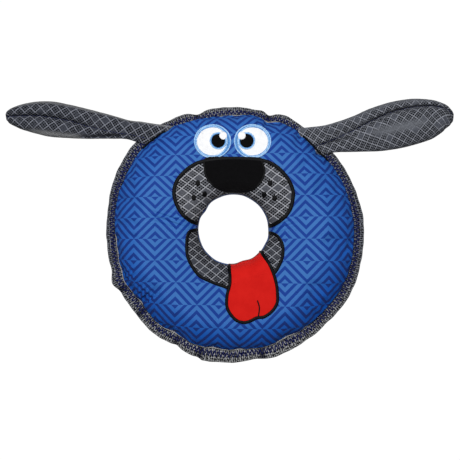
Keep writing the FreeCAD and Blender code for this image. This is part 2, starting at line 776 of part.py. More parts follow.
def make_ear(side, stuffed):
    """Two panels round a filling, with the sewn seam between them, and the root sewn to the ring."""
    ear = Ear(side)
    name = f"{side}_ear"
    reach = fuse(f"{name}_reach", ear.beyond_hinge(f"{name}_outside", 0), ear.root_roll(f"{name}_roll"))
    whole = common(f"{name}_whole", ear.leaf(f"{name}_outer", "0", EAR_TIP), reach)
    room = common(
        f"{name}_room",
        ear.leaf(f"{name}_inner", "Sizes.cover_thickness", EAR_ROOM_TIP),
        ear.beyond_hinge(f"{name}_inside", size("cover_thickness")),
    )
    core = ear.leaf(f"{name}_core", "(Sizes.cover_thickness + Sizes.ear_seam_depth)", EAR_CORE_TIP)
    skin = cut(f"{name}_skin", whole, room)
    towards_top = ear.slab(f"{name}_top_side", str(FAR), 0 if ear.seam_side() > 0 else -FAR)
    seam = common(
        f"{name}_seam_thread",
        ear.slab(f"{name}_seam_slab", "Sizes.ear_seam_thickness", -size("ear_seam_thickness") / 2),
        cut(f"{name}_seam_room", room, core),
    )
    return {
        f"{name}_upper_panel": common(f"{name}_upper_panel", skin, towards_top),
        f"{name}_lower_panel": cut(f"{name}_lower_panel", skin, towards_top),
        f"{name}_filling": cut(f"{name}_filling", room, seam),
        f"{name}_seam_thread": seam,
        f"{name}_root": make_tab(ear, f"{name}_root", stuffed),
    }


# ------------------------------------------------------------------ export


def make_nodes():
    """Every sub-part, by node name."""
    hollow = cushion("hollow", "(-Sizes.cover_thickness)")
    stuffed = cushion("stuffed", "0")
    patched = cushion("patched", "Sizes.patch_thickness")
    raised = cushion("raised", "Sizes.border_height")
    covers = make_covers(stuffed, hollow)
    bulb, reed, squeaker_room = make_squeaker()
    tape = size("cover_thickness") + size("binding_thickness")
    nodes = {
        "front_cover": covers["front"],
        "back_cover": covers["back"],
        "fibre_filling": make_filling(hollow, squeaker_room),
        "squeaker_bulb": bulb,
        "squeaker_reed": reed,
        "edge_binding": make_binding(),
        "outer_seam_thread": seam_thread("outer_seam_thread"),
        "hole_seam_thread": hole_thread("hole_seam_thread"),
        "front_zigzag_thread": make_zigzag("front_zigzag_thread", tape),
        "back_zigzag_thread": make_zigzag("back_zigzag_thread", -tape - size("zigzag_thread") / 2),
    }
    nodes.update(make_face(*make_layers(stuffed, patched, raised)))
    for side in ("left", "right"):
        nodes.update(make_ear(side, stuffed))
    return nodes


def check_and_export(nodes):
    DOC.recompute()
    for item in DOC.Objects:
        if {"Invalid", "Error"} & set(item.State):
            raise RuntimeError(f"{item.Name} failed: {item.State}")
    for name, item in nodes.items():
        if item.Shape.isNull() or not item.Shape.isValid() or not item.Shape.Solids:
            raise RuntimeError(f"{name} has no valid solid")
    os.makedirs("parts", exist_ok=True)
    for name, item in nodes.items():
        item.Label = name
        item.Shape.exportStep(f"parts/{name}.step")
        print(f"{name}: {len(item.Shape.Solids)} solid(s), {item.Shape.Volume / 1000:.3f} cm3")


check_and_export(make_nodes())
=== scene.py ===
"""Flying ring dog toy: a stuffed fabric ring with a dog's face and two padded ears.

Lengths in this script are millimetres until a mesh is made, when they become metres. The origin is the
centre of the hole on the seam plane, +Z is out of the face and +Y is the top of the head.
"""

import math

import bpy
import numpy as np
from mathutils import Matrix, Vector
from mathutils.geometry import delaunay_2d_cdt


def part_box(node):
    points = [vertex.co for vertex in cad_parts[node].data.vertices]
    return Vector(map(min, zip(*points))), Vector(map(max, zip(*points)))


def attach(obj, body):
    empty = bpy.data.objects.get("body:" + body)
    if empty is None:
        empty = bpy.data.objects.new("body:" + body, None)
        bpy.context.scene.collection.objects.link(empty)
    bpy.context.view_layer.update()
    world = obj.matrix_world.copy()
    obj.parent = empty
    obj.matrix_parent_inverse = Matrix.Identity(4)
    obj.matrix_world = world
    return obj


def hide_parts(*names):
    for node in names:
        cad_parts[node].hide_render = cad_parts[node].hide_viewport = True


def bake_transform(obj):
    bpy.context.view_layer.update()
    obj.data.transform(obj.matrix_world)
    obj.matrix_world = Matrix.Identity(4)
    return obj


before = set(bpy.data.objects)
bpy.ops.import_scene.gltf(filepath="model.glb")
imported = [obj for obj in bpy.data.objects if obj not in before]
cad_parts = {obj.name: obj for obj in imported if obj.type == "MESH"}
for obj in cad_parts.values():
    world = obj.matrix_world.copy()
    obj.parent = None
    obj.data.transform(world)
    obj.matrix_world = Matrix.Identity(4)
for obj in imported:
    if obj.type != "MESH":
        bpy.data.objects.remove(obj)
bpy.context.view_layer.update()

MM = 0.001
UV_MM = 100.0  # millimetres to one unit of the UV maps
TURN = 2 * math.pi
RNG = np.random.default_rng(7)

HOLE_RADIUS = 34.0
TAPE_REACH = 124.0  # turns the tape's place round the ring into millimetres
FLOOR_Z = 1000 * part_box("back_cover")[0].z
CROWN = -FLOOR_Z - 0.1
SEAM_LIFT = 0.6  # the covers meet this far off the seam plane
RIM = 1.3  # blue cover that shows between the hole and the patches
RING_STEPS = 720  # points round the covers and the binding

CLOTH_FRAMES = 20
CLOTH = {
    "quality": 6, "mass": 0.12, "tension_stiffness": 12.0, "compression_stiffness": 12.0,
    "shear_stiffness": 4.0,
    "bending_stiffness": 0.15, "use_pressure": True, "uniform_pressure_force": 4.0, "shrink_min": -0.03,
}
COVER_SWELL = 2.6  # the furthest that stuffing moves a point of a cover, and of an ear
EAR_SWELL = 1.5
COVER_THICKNESS = 0.7

TAPE_HALF = 1.5  # half the folded tape's thickness
TAPE_OVERLAP = 1.0  # how far the tape lies over the covers' edge
TAPE_WIDTH = 11.0
ZIGZAGS = 190
ZIGZAG_SHARES = (0.2, 0.66)  # the zigzag's inner and outer turns, as shares of the tape's width
SATIN_PITCH = 0.46
MESH_HOLES = 3.0  # holes of the ripstop's open mesh across one cell of its grid

# Millimetres of drift in x and in y for 1, x, y, xy, x squared and y squared, with x and y over 80 mm.
PRINT_DRIFT = np.array([[-1.4, 2.5, 0.7, 1.5, -0.6, 1.3], [-0.6, -0.4, 2.3, -1.8, 0.2, 0.4]])


# Numbers and lines


def full_turn(count):
    """Evenly spaced angles round a circle."""
    return np.arange(count) * TURN / count


def wrapped(angle):
    """The same angle between minus and plus half a turn."""
    return np.angle(np.exp(1j * angle))


def polar(radius, angle, *height):
    """Points at a distance and an angle round the hole's centre, and at a height if given."""
    return np.stack(np.broadcast_arrays(radius * np.cos(angle), radius * np.sin(angle), *height), -1)


def unit(vectors):
    return vectors / (np.linalg.norm(vectors, axis=-1, keepdims=True) + 1e-9)


def bell(x):
    """1 at 0, falling smoothly to 0 on both sides."""
    return np.exp(-(x**2))


def ease(x, low, high):
    t = np.clip((x - low) / (high - low), 0, 1)
    return t * t * (3 - 2 * t)


def waves(angle, counts, seed):
    """A sum of sines round the ring with random phases, between about -1 and 1."""
    phases = np.random.default_rng(seed).uniform(0, TURN, len(counts))
    return sum(np.sin(n * angle + p) for n, p in zip(counts, phases)) / math.sqrt(len(counts))


def bumps(angle, rows):
    """Sum of smooth bumps; a row is the place and half width in degrees, and the height."""
    total = np.zeros_like(angle)
    for place, width, height in rows:
        total += height * bell(np.degrees(wrapped(angle - math.radians(place))) / width)
    return total


def near_line(points, start, end, width):
    """1 on a line between two plan points, falling to 0 away from it and towards its ends."""
    span = np.subtract(end, start)
    length = np.hypot(*span)
    dx, dy = points[..., 0] - start[0], points[..., 1] - start[1]
    along = (dx * span[0] + dy * span[1]) / length**2
    across = (dy * span[0] - dx * span[1]) / length
    return ease(along, 0.0, 0.3) * (1 - ease(along, 0.7, 1.0)) * bell(across / width)


def lengths(points):
    """Distance along a line of points, or along each row of a grid of them."""
    steps = np.linalg.norm(np.diff(points, axis=-2), axis=-1)
    return np.concatenate([np.zeros_like(steps[..., :1]), np.cumsum(steps, -1)], -1)


def directions(path, closed):
    """Unit vectors along a path."""
    ahead = np.roll(path, -1, 0) - np.roll(path, 1, 0)
    if not closed:
        ahead[0], ahead[-1] = path[1] - path[0], path[-1] - path[-2]
    return unit(ahead)


def side_of(path, closed):
    """Unit vectors across a plan path, to its left."""
    ahead = directions(path, closed)
    return np.stack([-ahead[:, 1], ahead[:, 0]], 1)


def curve(knots, closed=False, step=0.6):
    """Points a step apart on a smooth curve through the knots."""
    knots = np.asarray(knots, float)
    if closed:
        padded = np.concatenate([knots[-1:], knots, knots[:2]])
    else:
        padded = np.concatenate([2 * knots[:1] - knots[1:2], knots, 2 * knots[-1:] - knots[-2:-1]])
    a, b, c, d = [padded[k : len(padded) - 3 + k, None] for k in range(4)]
    t = np.linspace(0, 1, 24, endpoint=False)[:, None]
    spans = 0.5 * (2 * b + (c - a) * t + (2 * a - 5 * b + 4 * c - d) * t**2 + (3 * b - a - 3 * c + d) * t**3)
    dense = np.concatenate([spans.reshape(-1, knots.shape[1]), padded[-2:-1]])
    length = lengths(dense)
    at = np.linspace(0, length[-1], max(8, int(round(length[-1] / step))), endpoint=not closed)
    return np.stack([np.interp(at, length, column) for column in dense.T], 1)


def ellipse(centre, radii, step=0.5):
    turn = full_turn(max(24, int(TURN * max(radii) / step)))
    return np.stack([centre[0] + radii[0] * np.cos(turn), centre[1] + radii[1] * np.sin(turn)], 1)


def inside(points, outline):
    """Which points lie in a closed outline."""
    x, y = points[:, :1], points[:, 1:]
    ax, ay = outline.T[:, None]
    bx, by = np.roll(ax, -1, 1), np.roll(ay, -1, 1)
    crosses = (ay > y) != (by > y)
    at = ax + (y - ay) * (bx - ax) / np.where(by == ay, 1e-9, by - ay)
    return (np.sum(crosses & (x < at), axis=1) % 2).astype(bool)


def between(grid, row, column):
    """Values of a grid between its points. The rows run on from the last to the first."""
    i, j = np.floor(row).astype(int), np.minimum(np.floor(column).astype(int), grid.shape[1] - 2)
    fi, fj = (row - i)[..., None], (column - j)[..., None]
    i, i2 = i % len(grid), (i + 1) % len(grid)
    near = grid[i, j] * (1 - fj) + grid[i, j + 1] * fj
    far = grid[i2, j] * (1 - fj) + grid[i2, j + 1] * fj
    return near * (1 - fi) + far * fi


def resample(grid, rows, columns, close_rows):
    """The same grid of points with other numbers of rows and columns."""
    last_row, last_column = grid.shape[0] - 1, grid.shape[1] - 1
    row = np.minimum(np.linspace(0, last_row, rows), last_row - 1e-6)
    if close_rows:
        row = np.arange(rows) * len(grid) / rows
    column = np.minimum(np.linspace(0, last_column, columns), last_column - 1e-6)
    return between(grid, row[:, None], column[None, :])


# Meshes


def mesh_object(name, points, faces, material, uv=None, smooth=True):
    """A mesh from points in millimetres, with a UV map in hundreds of millimetres."""
    mesh = bpy.data.meshes.new(name)
    mesh.from_pydata((np.reshape(points, (-1, 3)) * MM).tolist(), [], [list(face) for face in faces])
    if uv is not None:
        layer = mesh.uv_layers.new(name="flat")
        loops = np.zeros(len(mesh.loops), dtype=int)
        mesh.loops.foreach_get("vertex_index", loops)
        layer.data.foreach_set("uv", (uv.reshape(-1, 2)[loops] / UV_MM).ravel().astype(np.float32))
    mesh.polygons.foreach_set("use_smooth", [smooth] * len(mesh.polygons))
    if material is not None:
        mesh.materials.append(material)
    mesh.validate()
    obj = bpy.data.objects.new(name, mesh)
    bpy.context.scene.collection.objects.link(obj)
    return obj


def quads(rows, columns, close_rows=False, close_columns=False):
    """Quads over a grid of points that are numbered row by row."""
    i = np.arange(rows if close_rows else rows - 1)[:, None]
    j = np.arange(columns if close_columns else columns - 1)[None, :]
    i2, j2 = (i + 1) % rows, (j + 1) % columns
    corners = [i * columns + j, i2 * columns + j, i2 * columns + j2, i * columns + j2]
    return np.stack(corners, -1).reshape(-1, 4)


def caps(rows, columns):
    """Faces that close the first and the last row of a grid."""
    return [range(columns), range(rows * columns - 1, (rows - 1) * columns - 1, -1)]


def solidify(obj, thickness):
    modifier = obj.modifiers.new("thickness", "SOLIDIFY")
    modifier.thickness = thickness * MM
    modifier.offset = -1.0
    return obj


def store(obj, name, values):
    """Keep a number at each point of a mesh, for its material."""
    layer = obj.data.attributes.new(name, "FLOAT", "POINT")
    layer.data.foreach_set("value", values.ravel().astype(np.float32))


def tube(name, paths, radius, material, sides=6, closed=False):
    """Round threads along paths, all in one mesh. A path is an array of points."""
    points, faces, first = [], [], 0
    turn = full_turn(sides)[None, :, None]
    for path in paths:
        ahead = directions(path, closed)[:, None]
        side = unit(np.cross(ahead, (0.0, 0.0, 1.0)))
        up = np.cross(side, ahead)
        points.append(path[:, None] + radius * (np.cos(turn) * side + np.sin(turn) * up))
        faces.extend(first + quads(len(path), sides, closed, True))
        if not closed:
            faces.extend([first + k for k in cap] for cap in caps(len(path), sides))
        first += len(path) * sides
    return mesh_object(name, np.concatenate(points), faces, material)


def inflate(grid, pinned, cap, close_rows=False, flip=False):
    """Cloth simulation of a sewn panel, cut slack, held along its seams and blown up.

    pinned says which points of a coarser grid the seams hold. cap is the furthest that a point moves.
    """
    rows, columns = pinned.shape
    coarse = resample(grid, rows, columns, close_rows)
    faces = quads(rows, columns, close_rows)
    cloth = mesh_object("cloth_panel", coarse, faces[:, ::-1] if flip else faces, None)
    held = cloth.vertex_groups.new(name="seams")
    held.add(np.flatnonzero(pinned).tolist(), 1.0, "REPLACE")
    modifier = cloth.modifiers.new("cloth", "CLOTH")
    for name, value in CLOTH.items():
        setattr(modifier.settings, name, value)
    modifier.settings.vertex_group_mass = held.name
    modifier.settings.effector_weights.gravity = 0.0
    modifier.collision_settings.use_collision = False
    modifier.point_cache.frame_start, modifier.point_cache.frame_end = 1, CLOTH_FRAMES
    for step in range(1, CLOTH_FRAMES + 1):
        bpy.context.scene.frame_set(step)
    settled = cloth.evaluated_get(bpy.context.evaluated_depsgraph_get()).to_mesh()
    moved = np.zeros(len(settled.vertices) * 3, dtype=np.float32)
    settled.vertices.foreach_get("co", moved)
    shift = moved.reshape(coarse.shape) / MM - coarse
    bpy.data.objects.remove(cloth, do_unlink=True)
    bpy.context.scene.frame_set(1)
    far = np.linalg.norm(shift, axis=2, keepdims=True) + 1e-9
    shift *= np.tanh(far / cap) * cap / far
    return grid + resample(shift, *grid.shape[:2], close_rows)


# Shader nodes


def colour(srgb):
    """Linear colour from 0 to 255 values as they are seen."""
    linear = [(c / 255 / 12.92) if c / 255 <= 0.04045 else ((c / 255 + 0.055) / 1.055) ** 2.4 for c in srgb]
    return (*linear, 1.0)


def set_inputs(node, **values):
    """Set a node's inputs by name, with _ for a space."""
    for name, value in values.items():
        node.inputs[name.replace("_", " ")].default_value = value


def operator(operation):
    return lambda value, other: value.nodes.math(operation, value, other)


class Value:
    """A node's output. Its arithmetic adds Math nodes."""

    __add__, __sub__ = operator("ADD"), operator("SUBTRACT")
    __mul__, __truediv__ = operator("MULTIPLY"), operator("DIVIDE")

    def __init__(self, nodes, socket):
        self.nodes, self.socket = nodes, socket


class Nodes:
    """A material's nodes. A plain tuple stands for a colour as it is seen."""

    def __init__(self, name, roughness, sheen=0.0, specular=0.1):
        self.material = bpy.data.materials.new(name)
        self.material.use_nodes = True
        self.tree = self.material.node_tree
        self.shader = self.tree.nodes["Principled BSDF"]
        set_inputs(self.shader, Roughness=roughness, Sheen_Weight=sheen, Sheen_Roughness=0.5)
        set_inputs(self.shader, Specular_IOR_Level=specular)

    def plug(self, socket, value):
        if isinstance(value, Value):
            self.tree.links.new(value.socket, socket)
        else:
            socket.default_value = colour(value) if isinstance(value, tuple) else value

    def add(self, kind, *values, output=0, **settings):
        """The output of a new node with these settings and inputs."""
        node = self.tree.nodes.new("ShaderNode" + kind)
        for name, value in settings.items():
            setattr(node, name, value)
        for socket, value in zip(node.inputs, values):
            self.plug(socket, value)
        return Value(self, node.outputs[output])

    def math(self, operation, *values):
        return self.add("Math", *values, operation=operation)

    def sine(self, value, pitch):
        return self.math("SINE", value * (TURN / pitch))

    def off_middle(self, value):
        """How far a number's fraction is from a half."""
        return self.math("ABSOLUTE", self.math("FRACT", value) - 0.5)

    def split(self, vector):
        """A vector's x and y."""
        x = self.add("SeparateXYZ", vector)
        return x, Value(self, x.socket.node.outputs[1])

    def flat(self):
        """The two fabric coordinates, in millimetres."""
        return [axis * UV_MM for axis in self.split(self.add("UVMap", uv_map="flat"))]

    def object_point(self):
        return self.add("TexCoord", output="Object")

    def noise(self, scale, detail=2.0, roughness=0.5, point=None):
        """Noise over a point, or else over the object's own coordinates."""
        noise = self.add("TexNoise", point or self.object_point(), output="Fac")
        set_inputs(noise.socket.node, Scale=scale, Detail=detail, Roughness=roughness)
        return noise

    def ramp(self, value, from_low, from_high, to_low=0.0, to_high=1.0):
        limits = (from_low, from_high, to_low, to_high)
        return self.add("MapRange", value, *limits, interpolation_type="SMOOTHSTEP")

    def mix(self, factor, a, b):
        mixed = self.add("Mix", factor, output=2, data_type="RGBA")
        self.plug(mixed.socket.node.inputs[6], a)
        self.plug(mixed.socket.node.inputs[7], b)
        return mixed

    def weave(self, u, v, pitch):
        """Height of a plain weave with threads a pitch apart."""
        return self.sine(u, pitch) * self.sine(v, pitch) * 0.5 + 0.5

    def bump(self, height, distance, strength):
        bump = self.add("Bump")
        set_inputs(bump.socket.node, Strength=strength, Distance=distance * MM)
        self.plug(bump.socket.node.inputs["Height"], height)
        self.plug(self.shader.inputs["Normal"], bump)

    def paint(self, value):
        self.plug(self.shader.inputs["Base Color"], value)
        return self.material


# Materials


def printed_fabric():
    """Blue cloth printed with concentric diamonds whose stripes swap over at each diamond's middle.

    The blue is darkened towards the outer seam, most of all at the bottom: painted shade where the ring's edge
    turns away from the light.
    """
    cell, row_growth, stripe_pitch = 21.15, 0.0003, 0.205
    n = Nodes("printed_fabric", 0.62, specular=0.08)
    u, v = n.flat()
    x = (u - 6.1) / cell
    up = v + 9.5
    y = up * (up * row_growth + 1.0) / (cell + 0.1)
    folded = [lattice - n.math("ROUND", lattice) for lattice in ((x + y) * 0.5, (x - y) * 0.5)]
    far = n.math("MAXIMUM", *[n.math("ABSOLUTE", axis) for axis in folded])
    upper = n.math("GREATER_THAN", folded[0] - folded[1], 0.0)
    phase = far / stripe_pitch + (upper * -0.475 + 0.012)
    off = n.math("ABSOLUTE", n.math("FRACT", phase) - 0.215)
    dark = n.ramp(off, 0.213, 0.273, 1.0, 0.0)
    cloud = n.noise(22.0, 3.0)
    light = n.mix(cloud, (46, 97, 164), (60, 110, 176))
    stripe = n.mix(cloud, (14, 50, 128), (22, 60, 142))
    n.bump(n.weave(u, v, 0.55) * 0.4 + n.noise(900.0), 0.08, 0.5)
    east, north = n.split(n.object_point())
    reach = n.math("SQRT", east * east + north * north)
    # Painted shade: the blue darkens towards the outer seam, most at the bottom, where the edge turns away from
    # the light.
    deep = n.ramp(reach, 82 * MM, 113 * MM) * n.ramp(north, -0.1, 0.1, 0.9, 0.4)
    return n.paint(n.mix(dark, n.mix(deep, light, (0, 76, 170)), n.mix(deep, stripe, (26, 44, 104))))


def ripstop(name, line, thread_shade, plain, across, along, origin=(0.0, 0.0), bare_sheen=None):
    """Grey cloth with a pale grid whose cells hold a fine mesh, clear in some and nearly closed in others.

    across and along are the steps from one crossing of the grid to the next. The bare colour is painted where
    the mesh attribute is above 0 and the grid is lost, a painted highlight in the ears' sheen strips. Below 0,
    the attribute paints the shade of seams and folds.
    """
    n = Nodes(name, 0.8, specular=0.08)
    area = across[0] * along[1] - across[1] * along[0]
    u, v = [axis - start for axis, start in zip(n.flat(), origin)]
    wobble = (n.noise(60.0) - 0.5) * 0.2
    rows = ((along[1], -along[0]), (-across[1], across[0]))
    grid = [u * (a / area) + v * (b / area) + wobble for a, b in rows]
    on_line = n.ramp(n.math("MAXIMUM", *[n.off_middle(g) for g in grid]), 0.415, 0.45)
    cell = n.add("CombineXYZ", *[n.math("FLOOR", g) for g in grid])
    choice = n.add("TexWhiteNoise", cell, output="Value", noise_dimensions="2D")
    patchy = n.noise(170.0, 3.0, 0.7)
    opened = n.ramp(choice + patchy, 0.55, 0.9, 0.15, 1.0)
    holes = [n.ramp(n.off_middle(g * MESH_HOLES), 0.3, 0.44, 1.0, 0.0) for g in grid]
    hole = holes[0] * holes[1] * opened
    cells = n.mix(hole, n.mix(opened, plain, thread_shade), (3, 4, 8))
    kept = n.ramp(patchy, 0.3, 0.55, 0.65, 1.0)
    # Painted highlight: above 0 the grid fades and the cells turn to the bare colour.
    if bare_sheen is not None:
        grid_sheen_and_shade = n.add("Attribute", attribute_name="grid_sheen_and_shade", output="Fac")
        kept = kept * n.ramp(grid_sheen_and_shade, 0.1, 0.9, 1.0, 0.08)
        cells = n.mix(n.ramp(grid_sheen_and_shade, 0.0, 1.0), cells, bare_sheen)
    woven = n.mix(on_line * kept, cells, line)
    shaded = n.mix(n.ramp(n.noise(800.0, 2.0, 0.6), 0.35, 0.7, 0.0, 0.4), woven, (14, 15, 20))
    # Painted shade in the seams and folds, where the attribute is below 0.
    if bare_sheen is not None:
        shaded = n.mix(n.ramp(grid_sheen_and_shade, -1.0, 0.0, 0.9, 0.0), shaded, (8, 9, 14))
    n.bump(on_line - hole * 0.6, 0.25, 0.7)
    return n.paint(shaded)


def tape_fabric():
    """Grey binding tape: pale weft across it, dark and grainy between. Painted shade darkens it at the left and
    right, less at the top, and in its creases and along its inner edge.
    """
    n = Nodes("binding_tape", 0.85, specular=0.05)
    u, v = n.flat()
    drift = n.noise(0.55, 3.0, 0.7, n.add("CombineXYZ", u * 0.9, v * 0.3)) * 2.4
    grain = n.ramp(n.noise(0.6, 2.0, 0.8, n.add("CombineXYZ", u, v)), 0.35, 0.65, -0.8, 0.8)
    weft = n.sine(u + drift, 2.0) * 0.55 + n.sine(v, 2.4) * 0.3
    pale = n.ramp(weft + grain, -0.5, 1.1)
    n.bump(pale, 0.3, 0.8)
    turn = u / TAPE_REACH
    # Painted shade: darker where the tape's sides turn away from the light, lightest at the bottom.
    painted_side_shade = n.math("SINE", turn) * 0.3 + (n.math("COSINE", turn * 2.0) * 0.35 + 0.45)
    light = n.mix(painted_side_shade, (160, 161, 163), (103, 107, 119))
    # Painted shade from a mesh attribute, in the tape's creases and along its inner edge.
    painted_tape_shade = n.add("Attribute", attribute_name="painted_tape_shade", output="Fac")
    return n.paint(n.mix(painted_tape_shade, n.mix(pale, (3, 4, 10), light), (8, 10, 26)))


def embroidery(name, dark, light, roughness, angle=0.0):
    """Satin stitches: fine parallel threads in two close shades."""
    n = Nodes(name, roughness)
    u, v = n.flat()
    threads = n.sine(u * math.sin(angle) + v * math.cos(angle) + n.noise(120.0), 0.5)
    n.bump(threads, 0.12, 0.7)
    return n.paint(n.mix(n.ramp(threads * 0.25 + n.noise(700.0) * 0.8, 0.1, 0.8), dark, light))


def thread(name, dark, light):
    """Twisted thread for borders and stitches, shaded along its length."""
    n = Nodes(name, 0.55, specular=0.08)
    speck = n.noise(900.0)
    n.bump(speck, 0.06, 0.6)
    return n.paint(n.mix(n.ramp(speck, 0.35, 0.65), dark, light))


def brushed_cloth(name, dark, light):
    """Short-napped cloth with faint cloudy shading."""
    n = Nodes(name, 0.8, sheen=0.02)
    n.bump(n.noise(1600.0) + n.weave(*n.flat(), 0.7) * 0.5, 0.08, 0.6)
    return n.paint(n.mix(n.ramp(n.noise(60.0, 4.0, 0.7), 0.3, 0.7), dark, light))


PRINT = printed_fabric()
RIPSTOP_FACE = ripstop(
    "ripstop_face", (168, 170, 177), (112, 114, 121), (78, 80, 88), (6.05, -4.1), (5.51, 4.7), (-44.2, 44.1)
)
RIPSTOP_LIP = ripstop(
    "ripstop_lip", (146, 149, 157), (84, 86, 94), (60, 63, 71), (5.5, -4.3), (4.6, 3.8), (-33.7, -22.9)
)
# The ears' last colour is the painted highlight where their grid is washed out.
LEFT_CLOTH = ripstop(
    "ripstop_left_ear", (122, 125, 135), (80, 83, 92), (58, 61, 70), (4.9, 4.9), (4.9, -4.9),
    bare_sheen=(138, 139, 141),
)
RIGHT_CLOTH = ripstop(
    "ripstop_right_ear", (139, 142, 151), (104, 107, 115), (76, 79, 88), (4.5, 4.5), (4.5, -4.5),
    bare_sheen=(106, 109, 116),
)
RIPSTOP_BACK = ripstop("ripstop_back", (130, 132, 140), (104, 107, 116), (72, 75, 83), (6.0, -4.1), (5.5, 4.7))
TAPE = tape_fabric()
NAVY = thread("navy_thread", (9, 13, 58), (22, 30, 88))
BLACK = thread("black_thread", (2, 2, 3), (12, 12, 15))
BLACK_FILL = embroidery("black_embroidery", (2, 2, 3), (9, 8, 11), 0.8)
SKY_THREAD = thread("sky_thread", (128, 172, 216), (168, 201, 234))
SKY_BASE = thread("sky_base", (68, 122, 186), (94, 146, 202))
WHITE_FILL = embroidery("white_embroidery", (240, 241, 244), (250, 250, 251), 0.6, angle=0.4)
RED = brushed_cloth("red_cloth", (190, 18, 13), (199, 24, 18))
PALE_EDGE = thread("pale_selvedge", (120, 120, 118), (176, 174, 168))


# The ring's outline


# Where the sewing pulls the blue cover's edge in or lets it out.
COVER_PUCKERS = [
    (139, 18, 4.2), (165, 9, 1.3), (44, 10, -2.4), (60, 6, 0.6), (72.5, 3.2, -3.2), (96, 15, -2.2),
    (121, 4, 1.0),
    (188, 6, -1.2), (205, 3, 1.2), (219, 7, -2.8), (241, 5, -2.2), (260, 4, -1.2), (272, 10, -1.4),
    (296, 6, -1.6),
    (335, 12, 1.2), (348, 28, 1.0),
]
# The same for the binding's outer edge.
TAPE_PUCKERS = [
    (138, 19, 7.0), (159, 13, 2.0), (115, 5, 1.2), (64, 5, 1.7), (60, 8, -0.6), (72.5, 2.6, -3.6),
    (81, 7, -1.2),
    (99, 8, -0.4), (106.8, 3.0, -2.8), (204, 3.4, 4.2), (207, 10, -0.8), (220, 6, -1.6), (232, 5, -0.6),
    (243, 6, -2.4), (243.8, 1.6, -0.9), (254, 1.5, -0.9), (256.5, 1.2, 0.7), (258, 6, 1.0), (272, 2, -0.6),
    (279, 5, -2.2), (286, 5, 0.6), (303, 5, -0.4), (314, 4, -1.1), (335, 14, 1.8), (2, 9, 1.0), (10, 16, 0.6),
]
# Tight ripples by the seam: place and spread in degrees, ripples in a full turn, height.
RIPPLES = [(203.5, 3.2, 140, 1.2), (216, 6.5, 132, 1.35), (242, 4, 120, 0.5), (330, 9, 90, 0.35)]
# Fans of small creases: middle, lean in radians, half length, half width, pitch, height.
CREASES = [((-63, 10), -0.28, 17, 5.5, 4.2, 0.7), ((48, 4), 0.4, 10, 5.0, 3.6, 0.5)]
# Flats in the hole's edge.
HOLE_FLATS = [(147, 10, -1.5), (288, 11, -1.6), (345, 8, 0.5), (240, 14, 0.3)]
# Sharp folds across the tape, where it is gathered.
TAPE_CREASES = [
    (72.5, 1.4, -1.8), (75.5, 1.8, 0.9), (108, 1.5, -1.3), (204.5, 1.5, 1.4), (208, 1.6, -1.6),
    (222, 1.6, -1.6),
    (243, 1.5, -1.8), (255, 1.0, -1.0), (283, 1.4, -1.7), (286, 1.6, 0.8), (135, 9, -1.2),
    (42, 10, -1.2),
]
# Where the gathers along the outer seam are stronger.
GATHERS = [(325, 14, 0.5), (73, 6, 0.7), (140, 12, 0.6), (45, 8, 0.5)]
# Where the tape is painted darker along its inner edge: painted shade under the cover's edge.
TAPE_SHADES = [(322, 32, 0.6), (166, 30, 0.5), (100, 30, 0.25), (55, 14, 0.5)]


def circle_reach(angle, centre, radius):
    """Distance from the hole's centre to a circle centred elsewhere, along each angle."""
    along = centre[0] * np.cos(angle) + centre[1] * np.sin(angle)
    across2 = centre[0] ** 2 + centre[1] ** 2 - along**2
    return along + np.sqrt(radius**2 - across2)


def print_drift(flat):
    """The cloth isn't cut quite square: the print leans and spreads a little over the ring."""
    x, y = flat[..., 0] / 80, flat[..., 1] / 80
    terms = np.stack([np.ones_like(x), x, y, x * y, x * x, y * y], -1)
    return flat + terms @ PRINT_DRIFT.T


def hole_edge(angle):
    return HOLE_RADIUS - 0.2 + bumps(angle, HOLE_FLATS) + 0.12 * waves(angle, (5, 8, 13), 11)


def cover_edge(angle):
    small = 0.2 * waves(angle, (23, 31, 41, 53), 3)
    return circle_reach(angle, (0.5, -2.5), 115.0) + bumps(angle, COVER_PUCKERS) + small


def tape_edge(angle):
    small = 0.22 * waves(angle, (19, 27, 37, 61), 5)
    return circle_reach(angle, (1.3, -5.1), 124.3) + bumps(angle, TAPE_PUCKERS) + small


def tape_wave(angle):
    """How far the binding leaves the seam plane."""
    return 0.6 * waves(angle, (7, 11, 17), 9) + bumps(angle, TAPE_CREASES)


# The stuffed covers


# The ring's section from the hole's seam to the outer seam: distance from the hole's edge and height.
SECTION = [
    (0, SEAM_LIFT), (0.1, 3.2), (0.5, 7.2), (2.9, 12.6), (7.6, 17), (14, 19.3), (24, 19.8), (36, 19.8),
    (47, 19.5),
    (56, 18.5), (64, 16.1), (71, 11.8), (76, 7.2), (79.2, 3), (80.2, SEAM_LIFT),
]


